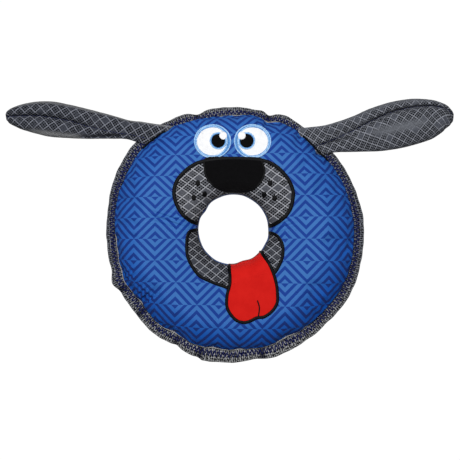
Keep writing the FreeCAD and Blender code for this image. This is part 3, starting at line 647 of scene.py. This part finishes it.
class Cover:
    """One stuffed face of the ring as a grid: angle round the hole by steps from hole to outer seam."""

    def __init__(self, side):
        self.side = side
        self.angle = full_turn(RING_STEPS)[:, None]
        reach, height = curve(SECTION, step=1.4).T
        self.across = np.maximum.accumulate(np.clip(reach / reach[-1], 0, 1))
        self.across += np.linspace(0, 1e-6, len(height))
        self.across /= self.across[-1]
        low, self.edge = hole_edge(self.angle), cover_edge(self.angle)
        radius = low + (self.edge - low) * self.across
        self.points = self.place(radius, height)
        self.uv = self.flat_pattern(radius)
        self.stuff()
        self.crumple(radius)
        self.find_normals()

    def place(self, radius, z):
        return polar(radius, self.angle, self.side * z)

    def flat_pattern(self, radius):
        """Cloth coordinates: the plan near the crown, stretched by the slope towards the seams."""
        length = lengths(self.points)
        middle = length.shape[1] // 2
        length = length - length[:, middle : middle + 1] + radius[:, middle : middle + 1]
        return print_drift(polar(radius + 0.85 * (length - radius), self.angle))

    def stuff(self):
        """The stuffing swells the cover between its two seams, which leaves wrinkles beside them."""
        pinned = np.zeros((300, 50), dtype=bool)
        pinned[:, [0, -1]] = True
        self.points = inflate(self.points, pinned, COVER_SWELL, close_rows=True, flip=self.side > 0)
        over = np.maximum(self.points[..., 2] * self.side - (CROWN - 0.8), 0)
        self.points[..., 2] -= self.side * (over - 0.7 * np.tanh(over / 0.7))

    def crumple(self, radius):
        """Gathers along the outer seam, tight ripples in the lower left, and creases beside the mouth."""
        self.find_normals()
        from_seam = self.edge - radius
        near = np.exp(-np.clip(from_seam, 0, None) / 8.0) * ease(from_seam, 0, 3)
        push = near * waves(self.angle, (46, 61, 79, 97), 21) * (0.28 + bumps(self.angle, GATHERS))
        belt = ease(from_seam, 1.0, 5.0) * (1 - ease(from_seam, 9.0, 21.0))
        for place, spread, count, height in RIPPLES:
            ripple = np.sin(count * self.angle + 0.035 * from_seam * count / 40)
            push += height * belt * ripple * bumps(self.angle, [(place, spread, 1.0)])
        x, y = self.points[..., 0], self.points[..., 1]
        for place, lean, length, width, pitch, height in CREASES:
            along = (x - place[0]) * math.cos(lean) + (y - place[1]) * math.sin(lean)
            across = (y - place[1]) * math.cos(lean) - (x - place[0]) * math.sin(lean)
            fade = np.exp(-((along / length) ** 4) - (across / width) ** 2)
            push += height * fade * np.cos(TURN * across / pitch + along * 0.08)
        self.points += self.normals * push[..., None]
        self.points[..., 2] = np.maximum(self.points[..., 2], FLOOR_Z + 0.05)

    def find_normals(self):
        round_ring = np.roll(self.points, -1, 0) - np.roll(self.points, 1, 0)
        self.normals = unit(np.cross(np.gradient(self.points, axis=1), round_ring) * self.side)

    def sample(self, grid, plan):
        """Values of a grid above plan points."""
        angle = np.arctan2(plan[:, 1], plan[:, 0]) % TURN
        low, high = hole_edge(angle), cover_edge(angle)
        share = np.clip((np.hypot(plan[:, 0], plan[:, 1]) - low) / (high - low), 0, 1)
        column = np.interp(share, self.across, np.arange(len(self.across)))
        return between(grid, angle / TURN * RING_STEPS, column)

    def lay(self, plan, lift):
        """Plan points laid on the cover and raised off it by lift."""
        aim = plan.copy()
        for _ in range(4):
            aim += plan - self.sample(self.points, aim)[:, :2]
        lift = np.reshape(lift, (-1, 1))
        return self.sample(self.points, aim) + self.sample(self.normals, aim) * lift

    def build(self, name, material):
        """The cover's cloth, with a seam allowance at the hole and a brim that the binding holds."""
        brim = self.place(self.edge + np.array([1.5, 3.5]), SEAM_LIFT)
        brim[..., 2] += tape_wave(self.angle) * np.array([0.5, 1.0])
        allowance = self.place(hole_edge(self.angle) + 2.5, 0.3)
        points = np.concatenate([allowance, self.points, brim], 1)
        uv = np.pad(self.uv, ((0, 0), (1, 2), (0, 0)), mode="edge")
        faces = quads(RING_STEPS, points.shape[1], True)
        obj = mesh_object(name, points, faces[:, ::-1] if self.side > 0 else faces, material, uv)
        return solidify(obj, COVER_THICKNESS)


FRONT, BACK = Cover(1), Cover(-1)


def sew(obj, slot_name, *nodes, fill=None, fixed=True):
    """Hide the CAD nodes that a piece stands for, and fix it to the ring if it is fixed there. Its finish and
    filling are not used.
    """
    if nodes:
        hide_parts(*nodes)
    if fixed:
        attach(obj, "ring")


def make_covers():
    front = FRONT.build("front_cover_cloth", PRINT)
    back = BACK.build("back_cover_cloth", RIPSTOP_BACK)
    sew(front, "printed_fabric", "front_cover", "fibre_filling", fill=0.9)
    sew(back, "back_fabric", "back_cover", fill=0.9)


# The binding


def on_tape(angle, share, height):
    """Points on the binding. share runs from its inner edge, 0, to its outer edge, 1."""
    inner, outer = cover_edge(angle) - TAPE_OVERLAP, tape_edge(angle)
    wave = tape_wave(angle) * ease(share, 0.1, 0.9)
    return polar(inner + (outer - inner) * share, angle, height + wave)


def make_binding():
    """Tape folded round the brims: a flat loop in section, ruffled and puckered round the ring."""
    turn = full_turn(RING_STEPS)
    angle = turn[:, None]
    section = [(0.0, TAPE_HALF - 0.5), (0.02, TAPE_HALF + 0.25), (0.12, TAPE_HALF + 0.3)]
    section += [(share, TAPE_HALF) for share in (0.3, 0.45, 0.6, 0.75, 0.88)]
    section += [(0.965, TAPE_HALF - 0.25), (1.0, TAPE_HALF - 0.95)]
    across, height = np.array(section + [(share, -h) for share, h in section[::-1]]).T
    dimple = 0.18 * np.sin(angle * ZIGZAGS) * bell((across - 0.4) / 0.25)
    points = on_tape(angle, across, height + dimple * np.sign(height))
    uv = np.stack(np.broadcast_arrays(angle * TAPE_REACH, across * TAPE_WIDTH), -1)
    faces = quads(RING_STEPS, len(across), True, True)[:, ::-1]
    tape = mesh_object("edge_binding_tape", points, faces, TAPE, uv)
    # Painted shade on the tape: dark in the creases that dip, and along the inner edge under the cover's edge.
    crease_shade = bumps(angle, [(place, 1.4, 0.9) for place, spread, lift in TAPE_CREASES if spread < 2 and lift < 0])
    store(tape, "painted_tape_shade", np.maximum(crease_shade, bumps(angle, TAPE_SHADES) * (1 - ease(across, 0.1, 0.5))))
    sew(tape, "binding_tape", "edge_binding")
    for side, name in ((1, "front"), (-1, "back")):
        edge = on_tape(turn, 0.1, np.full(RING_STEPS, side * (TAPE_HALF + 0.3)))
        sew(tube(f"{name}_tape_selvedge", [edge], 0.42, PALE_EDGE, closed=True), "binding_tape")
        stitches = tube(f"{name}_zigzag_stitches", [zigzag(side)], 0.5, NAVY)
        sew(stitches, "thread", f"{name}_zigzag_thread")


def zigzag(side):
    """Zigzag stitch, a little uneven, that stands on the tape and dips in at each turn."""
    turns = 2 * ZIGZAGS
    step = np.arange(turns + 1)
    angle = step / turns * TURN + RNG.normal(0, 0.0014, turns + 1)
    share = np.where(step % 2 == 0, *ZIGZAG_SHARES) + RNG.normal(0, 0.02, turns + 1)
    fine = np.linspace(0, turns, turns * 4 + 1)
    dip = 0.5 * np.abs(np.cos(fine * math.pi)) ** 8
    height = side * (TAPE_HALF + 0.35 - dip)
    return on_tape(np.interp(fine, step, angle), np.interp(fine, step, share), height)


# The face


MUZZLE_KNOTS = [
    (-20, 8), (-34, 4.4), (-43.9, 7.9), (-51.9, 15.7), (-57.3, 26.7), (-58.8, 36.6), (-56, 47), (-49.4, 55.6),
    (-40, 63), (-30, 67), (-10.3, 69.6), (12, 69.7), (29, 67.9), (38.5, 64.4), (47, 58), (54.6, 48.4),
    (58.8, 38.5), (59.1, 30.6), (56.6, 19.7), (50.6, 10.8), (42.7, 4.9), (34.8, 1.8), (20, 6), (0, 14),
]
NOSE_KNOTS = [
    (-25.5, 68.6), (-27.9, 58.5), (-25.5, 49.2), (-19, 41.8), (-9.7, 37.4), (0.5, 36.0), (11.9, 36.4),
    (21.2, 40), (27.4, 46.8), (30.2, 55.4), (28.2, 64), (24.5, 68.6), (0, 69.2),
]
TONGUE_KNOTS = [
    (-4.6, -28), (-4.6, -50.1), (-7.3, -62.1), (-7.8, -72.9), (-4.8, -80.9), (2.1, -88.4), (10.1, -90.8),
    (17, -89.2), (22.9, -86.3), (29.9, -85.3), (36.8, -80.9), (41.7, -74.9), (43.9, -68), (43.3, -55.1),
    (40.7, -44.2), (36.8, -34.3), (31.8, -26.4), (24, -17), (8, -16),
]
LEFT_LIP_KNOTS = [
    (-24, 0.5), (-39.5, 0.6), (-45.2, -5), (-46.2, -20.5), (-43.6, -31), (-35.1, -44.2), (-25.2, -50.1),
    (-12.3, -55.1), (0, -58), (12, -50), (12, -20), (-10, -10),
]
RIGHT_LIP_KNOTS = [
    (24, -2.5), (38.5, -2.4), (46.7, -9.6), (49.2, -19.5), (47.4, -30.4), (41, -42.3), (34, -46), (24, -34),
    (16, -14),
]
CREASE_KNOTS = [(23.1, -68.1), (25, -75.3), (23.9, -84.7)]
# Where the tongue's borders meet the hole, in degrees.
TONGUE_AT_HOLE = (263.0, 322.5)
# Places of the whisker dots in the order left, right, from the top.
WHISKERS = [(-34, 44.4), (-27.6, 34), (-38, 30.6), (35.3, 44.4), (29.7, 33.4), (39.6, 30.1)]
EYES_MIDDLE = -0.8


def region(name, keep, lift, material, cuts=(), thickness=0.45, grid=1.5, rim=RIM):
    """A patch laid on the front cover: all that is inside keep and outside the hole and every cut."""
    angle = full_turn(260)
    cuts = [*cuts, polar(hole_edge(angle) + rim, angle)]

    def wanted(points):
        good = inside(points, keep)
        for outline in cuts:
            good &= ~inside(points, outline)
        return good

    low, high = keep.min(0), keep.max(0)
    columns = np.arange(low[0], high[0], grid)
    rows = np.arange(low[1], high[1], grid * 0.87)
    lattice = np.array([(x + (k % 2) * grid / 2, y) for k, y in enumerate(rows) for x in columns])
    lattice = lattice[wanted(lattice)]
    edges, first = [], 0
    for outline in (keep, *cuts):
        places = first + np.arange(len(outline))
        edges += np.stack([places, np.roll(places, -1)], 1).tolist()
        first += len(outline)
    outlines = np.concatenate([keep, *cuts])
    gap = np.min(np.linalg.norm(lattice[:, None] - outlines[None, :], axis=2), axis=1)
    points = np.concatenate([outlines, lattice[gap > grid * 0.45]])
    flat, _, triangles, *_ = delaunay_2d_cdt([Vector(p) for p in points], edges, [], 0, 1e-5)
    flat, triangles = np.array([tuple(p) for p in flat]), np.array(triangles)
    used, faces = np.unique(triangles[wanted(flat[triangles].mean(1))], return_inverse=True)
    flat = flat[used]
    obj = mesh_object(name, FRONT.lay(flat, lift), faces.reshape(-1, 3), material, flat)
    return solidify(obj, thickness)


def outside_hole(path, rim=RIM):
    """The longest stretch of a closed path outside the hole, and whether it is all of it."""
    out = np.hypot(path[:, 0], path[:, 1]) > hole_edge(np.arctan2(path[:, 1], path[:, 0])) + rim - 0.2
    if out.all():
        return path, True
    start = int(np.argmin(out))
    path, out = np.roll(path, -start, 0), np.roll(out, -start)
    ends = np.flatnonzero(out[1:] != out[:-1]) + 1
    runs = [run for run, ok in zip(np.split(path, ends), np.split(out, ends)) if ok[0]]
    return max(runs, key=len), False


def satin(name, run, width, height, base, material, inset=0.5):
    """A satin-stitched border: a low rounded band of threads that lie across its path.

    run is the path and whether it is closed. inset is the share of the band to the path's left.
    """
    path, closed = run
    dense = curve(path, closed, SATIN_PITCH / 2)
    across, count = side_of(dense, closed), len(dense)
    raised = np.arange(count) % 2 == 0
    ridge = np.where(raised, 1.0, 0.78)
    ragged = 1 + np.where(raised, RNG.uniform(-0.06, 0.2, count), -0.06)
    shift = (inset - 0.5) * width
    profile = np.linspace(-1, 1, 9)
    rows = []
    for t in profile:
        plan = dense + across * (shift + t * width / 2 * ragged)[:, None]
        arch = (1 - abs(t) ** 2.6) ** 0.6
        rows.append(FRONT.lay(plan, base + height * arch * ridge))
    for t in profile[-2:0:-1]:
        rows.append(FRONT.lay(dense + across * (shift + t * width / 2), base - 0.2))
    faces = quads(count, len(rows), closed, True)[:, ::-1].tolist()
    if not closed:
        faces += caps(count, len(rows))
    return mesh_object(name, np.stack(rows, 1), faces, material)


def whisker_dots():
    """Oval dots of satin stitches, each of rings that rise to a low dome."""
    rings, sides = 6, 28
    turn = full_turn(sides)
    dome = [[0, 1 + k, 1 + (k + 1) % sides] for k in range(sides)]
    dome.extend(1 + quads(rings, sides, False, True))
    points, faces = [], []
    for place in WHISKERS:
        faces += [[len(points) + k for k in face] for face in dome]
        points.extend(FRONT.lay(np.array([place]), 1.15))
        for share in np.arange(1, rings + 1) / rings:
            oval = np.array(place) + share * np.stack([2.3 * np.cos(turn), 3.0 * np.sin(turn)], 1)
            rise = 0.72 * math.sqrt(max(0.0, 1 - share**2.4)) + 0.08 * np.sin(turn * 9)
            points.extend(FRONT.lay(oval, 0.42 + rise))
    return mesh_object("whisker_dot_stitches", points, faces, BLACK)


def make_muzzle():
    outline, nose = curve(MUZZLE_KNOTS, closed=True), curve(NOSE_KNOTS, closed=True)
    sew(region("muzzle_cloth", outline, 0.45, RIPSTOP_FACE), "ripstop", "muzzle_patch")
    border = satin("muzzle_satin_border", outside_hole(outline), 3.6, 0.75, 0.5, BLACK, inset=0.0)
    sew(border, "black_embroidery", "muzzle_border")
    sew(region("nose_cloth", nose, 0.95, BLACK_FILL, thickness=0.5), "black_embroidery", "nose_patch")
    hem = satin("nose_satin_border", outside_hole(nose), 2.0, 0.6, 0.7, BLACK, inset=0.7)
    sew(hem, "black_embroidery")
    sew(whisker_dots(), "black_embroidery", "whisker_dots")


def make_mouth():
    tongue = curve(TONGUE_KNOTS, closed=True)
    cloth = region("tongue_cloth", tongue + 0.9 * side_of(tongue, True), 0.6, RED, rim=0.3)
    sew(cloth, "red_fabric", "tongue_patch")
    sew(tongue_hem(), "red_fabric")
    border = satin("tongue_satin_border", outside_hole(tongue, 0.8), 3.0, 0.8, 0.6, BLACK, inset=1.0)
    sew(border, "black_embroidery", "tongue_border")
    crease = curve(CREASE_KNOTS), False
    line = satin("tongue_crease_stitches", crease, 1.3, 0.45, 0.6, BLACK)
    sew(line, "black_embroidery", "tongue_crease")
    for side, knots, inset in (("left", LEFT_LIP_KNOTS, 1.0), ("right", RIGHT_LIP_KNOTS, 0.0)):
        lip = curve(knots, closed=True)
        patch = region(f"{side}_lip_cloth", lip, 0.45, RIPSTOP_LIP, cuts=[tongue])
        sew(patch, "ripstop", f"{side}_lip_patch")
        path, closed = outside_hole(lip)
        run = path[~inside(path, tongue)], closed
        border = satin(f"{side}_lip_satin_border", run, 3.0, 0.75, 0.5, BLACK, inset=inset)
        sew(border, "black_embroidery", f"{side}_lip_border")


def tongue_hem():
    """The tongue's cloth where it turns down into the hole."""
    degrees = np.degrees(FRONT.angle[:, 0])
    rows = np.flatnonzero((degrees > TONGUE_AT_HOLE[0]) & (degrees < TONGUE_AT_HOLE[1]))
    columns = np.flatnonzero(FRONT.across * 80 < 1.6)
    strip = FRONT.points[rows][:, columns] + 0.65 * FRONT.normals[rows][:, columns]
    faces = quads(len(rows), len(columns))[:, ::-1]
    return solidify(mesh_object("tongue_hem_cloth", strip, faces, RED, strip[..., :2]), 0.4)


def make_eye(side):
    sign = -1 if side == "left" else 1

    def oval(x, y, wide, tall, step=0.5):
        return ellipse((EYES_MIDDLE + sign * x, y), (wide, tall), step)

    white = region(f"{side}_eye_white_cloth", oval(20.2, 84.8, 15.0, 14.9), 0.45, WHITE_FILL)
    sew(white, "white_embroidery", f"{side}_eye_white")
    for name, nodes, outline, width, height, base, material in (
        ("eye_satin_border", ["eye_border"], oval(19.2, 84.6, 16.3, 14.9, 1.0), 3.0, 0.45, 0.4, SKY_BASE),
        ("eye_outer_stitches", [], oval(19.2, 84.7, 17.3, 15.8, 1.0), 1.2, 0.4, 0.6, SKY_THREAD),
        ("eye_inner_stitches", [], oval(20.0, 84.7, 14.9, 14.6, 1.0), 1.2, 0.4, 0.6, SKY_THREAD),
        ("iris_satin", ["iris_ring"], oval(13.6, 85.1, 7.2, 7.2, 0.8), 2.1, 0.45, 0.5, SKY_BASE),
        ("iris_outer_stitches", [], oval(13.6, 85.1, 7.7, 7.7, 0.8), 1.2, 0.4, 0.65, SKY_THREAD),
    ):
        band = satin(f"{side}_{name}", (outline, True), width, height, base, material)
        sew(band, "blue_embroidery", *[f"{side}_{node}" for node in nodes])
    pupil = region(f"{side}_pupil_cloth", oval(13.6, 85.1, 6.5, 6.5), 0.85, BLACK_FILL)
    sew(pupil, "black_embroidery", f"{side}_pupil")
    glint = region(f"{side}_glint_cloth", oval(8.9, 90.0, 3.7, 3.7), 1.25, WHITE_FILL, thickness=0.6, grid=0.9)
    sew(glint, "white_embroidery", f"{side}_glint")


# The ears


class Ear:
    """A stuffed leaf. Knots run from the root to the tip: plan x, plan y, half width and half depth.

    A place round a section is an angle: 0 is the edge nearer the top of the head and a quarter turn is the
    front. Folds are a start, an end, a half width and a depth, and sheen strips end in a share instead; folds
    also get painted shade, and sheen strips get a painted highlight.
    """

    LENGTHS, ROUND = 150, 96

    def __init__(self, side, cloth, knots, seam_knots, tight_knots, folds, sheen_strips, hinge_place):
        self.side, self.cloth, self.folds, self.sheen_strips = side, cloth, folds, sheen_strips
        self.hinge_place = math.radians(hinge_place)
        rows = curve(knots, step=0.5)
        length = lengths(rows[:, :2])
        share = np.linspace(0, 1, self.LENGTHS)[:, None]
        self.share = 0.55 * share + 0.45 * (1 - (1 - share) ** 2)
        self.along = self.share * length[-1]
        x, y, self.width, self.depth = [np.interp(self.along, length, column) for column in rows.T]
        self.centre = np.concatenate([x, y], 1)
        self.seam = np.interp(self.share, *zip(*seam_knots))
        self.seam_turn = np.arccos(self.seam)
        self.tightness = np.interp(self.share, *zip(*tight_knots))

    def surface(self, turn):
        """Points at angles turn, with the valleys of both seams."""
        ahead = unit(np.gradient(self.centre, axis=0))
        up_side = np.stack([-ahead[:, 1], ahead[:, 0]], 1)
        up_side *= np.sign(up_side[:, 1:2])
        cos, sin = np.cos(turn), np.sin(turn)
        lateral = self.width * np.sign(cos) * np.abs(cos) ** 0.9
        lift = self.depth * np.sign(sin) * np.abs(sin) ** 0.92
        valley = np.zeros_like(turn)
        for place in (self.seam_turn, -self.seam_turn):
            off = np.abs(wrapped(turn - place)) * np.maximum(self.width, 5)
            valley += 0.8 * bell(off / 1.7) + 0.55 * bell(off / 6.5)
        amount = np.minimum(4.6, 0.4 * self.depth) * self.tightness * valley
        lift -= np.sign(lift) * np.minimum(amount, np.abs(lift) * 0.8)
        lift += self.wrinkles(turn)
        # The middle sinks from the root until the belly rests on the floor.
        root, rest = 2.8, FLOOR_Z + 0.4 + self.depth.max()
        middle = root + (rest - root) * ease(self.share, 0.2, 0.66)
        plan = self.centre[:, None] + up_side[:, None] * lateral[..., None]
        return np.concatenate([plan, (middle + lift)[..., None]], -1)

    def wrinkles(self, turn):
        """Small puckers along the seams."""
        near_seam = bell((np.cos(turn) - self.seam) / 0.35)
        puckers = np.sin(self.along * 0.9 + 2 * np.cos(turn)) + 0.7 * np.sin(self.along * 1.63 + 1.0)
        return 0.22 * puckers * near_seam * ease(self.share, 0.02, 0.2) * np.sign(np.sin(turn))

    def stuffed(self, points, turn):
        """The panel with the wrinkles that its stuffing leaves, fewer along the two edges."""
        pinned = np.zeros((110, 30), dtype=bool)
        pinned[:12] = pinned[-2:] = pinned[:, [0, -1]] = True
        wrinkled = inflate(points, pinned, EAR_SWELL)
        share = 1 - 0.85 * ease(np.abs(np.cos(turn)), 0.6, 0.95)
        return points + (wrinkled - points) * share[..., None]

    def panel(self, name, upper):
        """One of the two panels, from the back seam to the front seam."""
        seam, step = self.seam_turn, np.linspace(0, 1, self.ROUND // 2)
        turn = -seam + 2 * seam * step if upper else seam + (TURN - 2 * seam) * step
        points = self.stuffed(self.surface(turn), turn)
        for start, end, width, deep in self.folds:
            points[..., 2] -= (np.sin(turn) > 0) * deep * near_line(points, start, end, width)
        girth = lengths(points)
        v = girth - girth[:, -1:] if upper else girth
        uv = np.stack(np.broadcast_arrays(self.along, v), -1)
        obj = mesh_object(name, points, quads(*v.shape), self.cloth, uv)
        store(obj, "grid_sheen_and_shade", self.grid_sheen_and_shade(points, turn, upper))
        return obj

    def grid_sheen_and_shade(self, points, turn, upper):
        """Above 0 where the cloth's grid is lost, along edges and in the sheen strips, which are a painted
        highlight; below 0, painted shade in the seams and folds.
        """
        grid_loss_and_sheen = 0.55 * ease(np.cos(turn), 0.74, 0.9)
        # Painted highlight: pale strips where the grid is washed out.
        for start, end, width, share in self.sheen_strips:
            grid_loss_and_sheen = np.maximum(grid_loss_and_sheen, share * near_line(points, start, end, width) * (np.sin(turn) > 0))
        # Painted shade in the folds.
        for start, end, width, deep in self.folds:
            grid_loss_and_sheen -= 0.22 * deep * (np.sin(turn) > 0) * near_line(points, start, end, 0.8 * width)
        # Painted shade along the seams.
        seam = self.seam_turn if upper else TURN - self.seam_turn
        off = np.abs(turn - seam) * np.maximum(self.width, 4)
        return grid_loss_and_sheen - self.tightness * (0.85 * bell(off / 1.1) + 0.22 * bell(off / 5.0))

    def stitches(self, name):
        """Seam stitches sunk in the valleys, front and back."""
        paths = []
        for turn in (self.seam_turn, TURN - self.seam_turn):
            line = curve(self.surface(turn)[:, 0])
            paths += [line[k : k + 4] for k in range(0, len(line) - 4, 5)]
        return tube(name, paths, 0.25, NAVY, sides=5)


LEFT_EAR = Ear(
    "left",
    LEFT_CLOTH,
    [
        (-62, 88.4, 12, 0.8), (-70, 90, 11.6, 0.9), (-79.5, 92, 10.8, 1.2), (-90.5, 94.4, 10.2, 3.2),
        (-103, 96.8, 9.4, 5.6), (-119.6, 99.4, 11.6, 7.2), (-139, 102, 14.1, 9.4),
        (-158.4, 104.8, 16.2, 11.6),
        (-176, 107.2, 17.2, 12.6), (-190, 108.8, 15.8, 12.2), (-203, 109.6, 13, 10.6), (-212, 110, 9.9, 8.4),
        (-218.4, 109.8, 6.6, 5.2), (-221.2, 109.4, 3, 2.2),
    ],
    [(0, -0.35), (0.3, -0.45), (0.45, -0.2), (0.6, 0.02), (0.8, 0.08), (1, -0.02)],
    [(0, 0), (0.35, 0.1), (0.5, 0.75), (0.8, 1), (1, 1)],
    [((-158, 89.4), (-100, 91.4), 1.5, 3.4), ((-160, 98), (-128, 94), 3, 0.5)],
    [((-212, 96), (-128, 86.4), 3.4, 1), ((-160, 86.6), (-98, 87.4), 2, 0.55)],
    131.5,
)
RIGHT_EAR = Ear(
    "right",
    RIGHT_CLOTH,
    [
        (65, 82.8, 15.6, 0.8), (71, 83.8, 15, 0.9), (79.5, 85.3, 14.4, 1.2), (88, 86.8, 13.9, 3.2),
        (98.6, 88.8, 14.4, 5.6), (118.1, 92.4, 17.3, 7.6), (137.4, 96.9, 21.2, 10), (156.8, 101.4, 22.9, 12),
        (173, 104.8, 22.4, 12.4), (185.9, 106.9, 20.6, 11.4), (195.6, 108.6, 17.8, 9.8),
        (204.5, 109.4, 13.4, 7.8), (211, 109, 8.4, 5.2), (214.2, 108.6, 3.6, 2.4),
    ],
    [(0, -0.3), (0.12, -0.25), (0.3, 0.1), (0.45, 0.35), (0.6, 0.52), (0.8, 0.6), (0.93, 0.62), (1, 0.6)],
    [(0, 0.2), (0.25, 0.5), (0.4, 1), (0.8, 1.1), (1, 1.1)],
    [((74, 79.6), (128, 93.6), 1.6, 2.8), ((78, 88), (120, 100), 4, 1.2), ((120, 86), (150, 92), 4, 0.5)],
    [((122, 90.5), (198, 107), 5, 0.85)],
    44.8,
)


def make_ear(ear):
    name = f"{ear.side}_ear"
    upper, lower = ear.panel(f"{name}_upper_cloth", True), ear.panel(f"{name}_lower_cloth", False)
    stitches = ear.stitches(f"{name}_seam_stitches")
    sew(upper, "ripstop", f"{name}_upper_panel", f"{name}_root", fill=0.85, fixed=False)
    sew(lower, "ripstop", f"{name}_lower_panel", f"{name}_filling", fill=0.85, fixed=False)
    sew(stitches, "thread", f"{name}_seam_thread", fixed=False)
    for obj in (upper, lower, stitches):
        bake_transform(obj)


def root_shadow_line(ear, half_angle):
    """A black cord that paints the shadow line where an ear comes out from under the front cover."""
    step = np.arange(60)
    angle = ear.hinge_place + np.linspace(-half_angle, half_angle, len(step))
    path = polar(cover_edge(angle) + 0.6, angle, 4.8 + 0.3 * np.sin(step * 1.3))
    sew(tube(f"{ear.side}_root_shadow_cord", [path], 0.95, BLACK), "thread")


# Hidden pieces and the studio


def dress_hidden_nodes():
    """Materials for the CAD nodes that stay as they are, all inside the ring."""
    looks = {"outer_seam_thread": NAVY, "hole_seam_thread": NAVY}
    for node in ("squeaker_bulb", "squeaker_reed"):
        n = Nodes(f"{node}_plastic", 0.4, specular=0.5)
        cloud = n.noise(300.0)
        n.bump(cloud, 0.05, 0.3)
        looks[node] = n.paint(n.mix(cloud, (214, 216, 214), (236, 237, 234)))
    for node, material in looks.items():
        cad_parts[node].data.materials.clear()
        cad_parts[node].data.materials.append(material)


def make_studio():
    """A white floor that glows evenly, a soft key light and a weak fill."""
    scene = bpy.context.scene
    scene.view_settings.view_transform = "Standard"
    scene.view_settings.look = "None"
    scene.world = bpy.data.worlds.new("studio")
    scene.world.use_nodes = True
    set_inputs(scene.world.node_tree.nodes["Background"], Color=(1, 1, 1, 1), Strength=0.16)
    n = Nodes("floor_paper", 0.9, specular=0.0)
    grain = n.noise(400.0)
    n.bump(grain, 0.02, 0.1)
    set_inputs(n.shader, Emission_Color=(1, 1, 1, 1), Emission_Strength=1.02)
    paper = n.paint(n.mix(grain, (12, 12, 12), (18, 18, 18)))
    size = 3000.0
    corners = [(size * x, size * y, FLOOR_Z) for x, y in ((-1, -1), (1, -1), (1, 1), (-1, 1))]
    floor = mesh_object("floor", corners, [(0, 1, 2, 3)], paper, smooth=False)
    floor.visible_diffuse = False
    lights = (("key", (-0.15, 0.44, 1.4), 0.6, 23.0), ("fill", (0.3, -0.1, 1.6), 1.0, 1.5))
    for name, place, side, power in lights:
        light = bpy.data.lights.new(name, "AREA")
        light.shape = "SQUARE"
        light.size = side
        light.energy = power
        lamp = bpy.data.objects.new(name, light)
        lamp.location = place
        lamp.rotation_euler = (-Vector(place)).to_track_quat("-Z", "Y").to_euler()
        scene.collection.objects.link(lamp)


def make_camera():
    """Straight above the toy, from far enough that its height changes little."""
    distance, covered = 2.0, 0.4462
    data = bpy.data.cameras.new("camera")
    data.sensor_width = 36.0
    data.lens = data.sensor_width * distance / covered
    data.clip_end = 20.0
    camera = bpy.data.objects.new("camera", data)
    camera.location = (-0.0032, -0.0005, distance)
    bpy.context.scene.collection.objects.link(camera)
    bpy.context.scene.camera = camera


make_camera()
make_studio()
make_covers()
make_binding()
make_muzzle()
make_mouth()
make_eye("left")
make_eye("right")
make_ear(LEFT_EAR)
make_ear(RIGHT_EAR)
root_shadow_line(LEFT_EAR, 0.115)
root_shadow_line(RIGHT_EAR, 0.15)
dress_hidden_nodes()

bpy.context.view_layer.update()
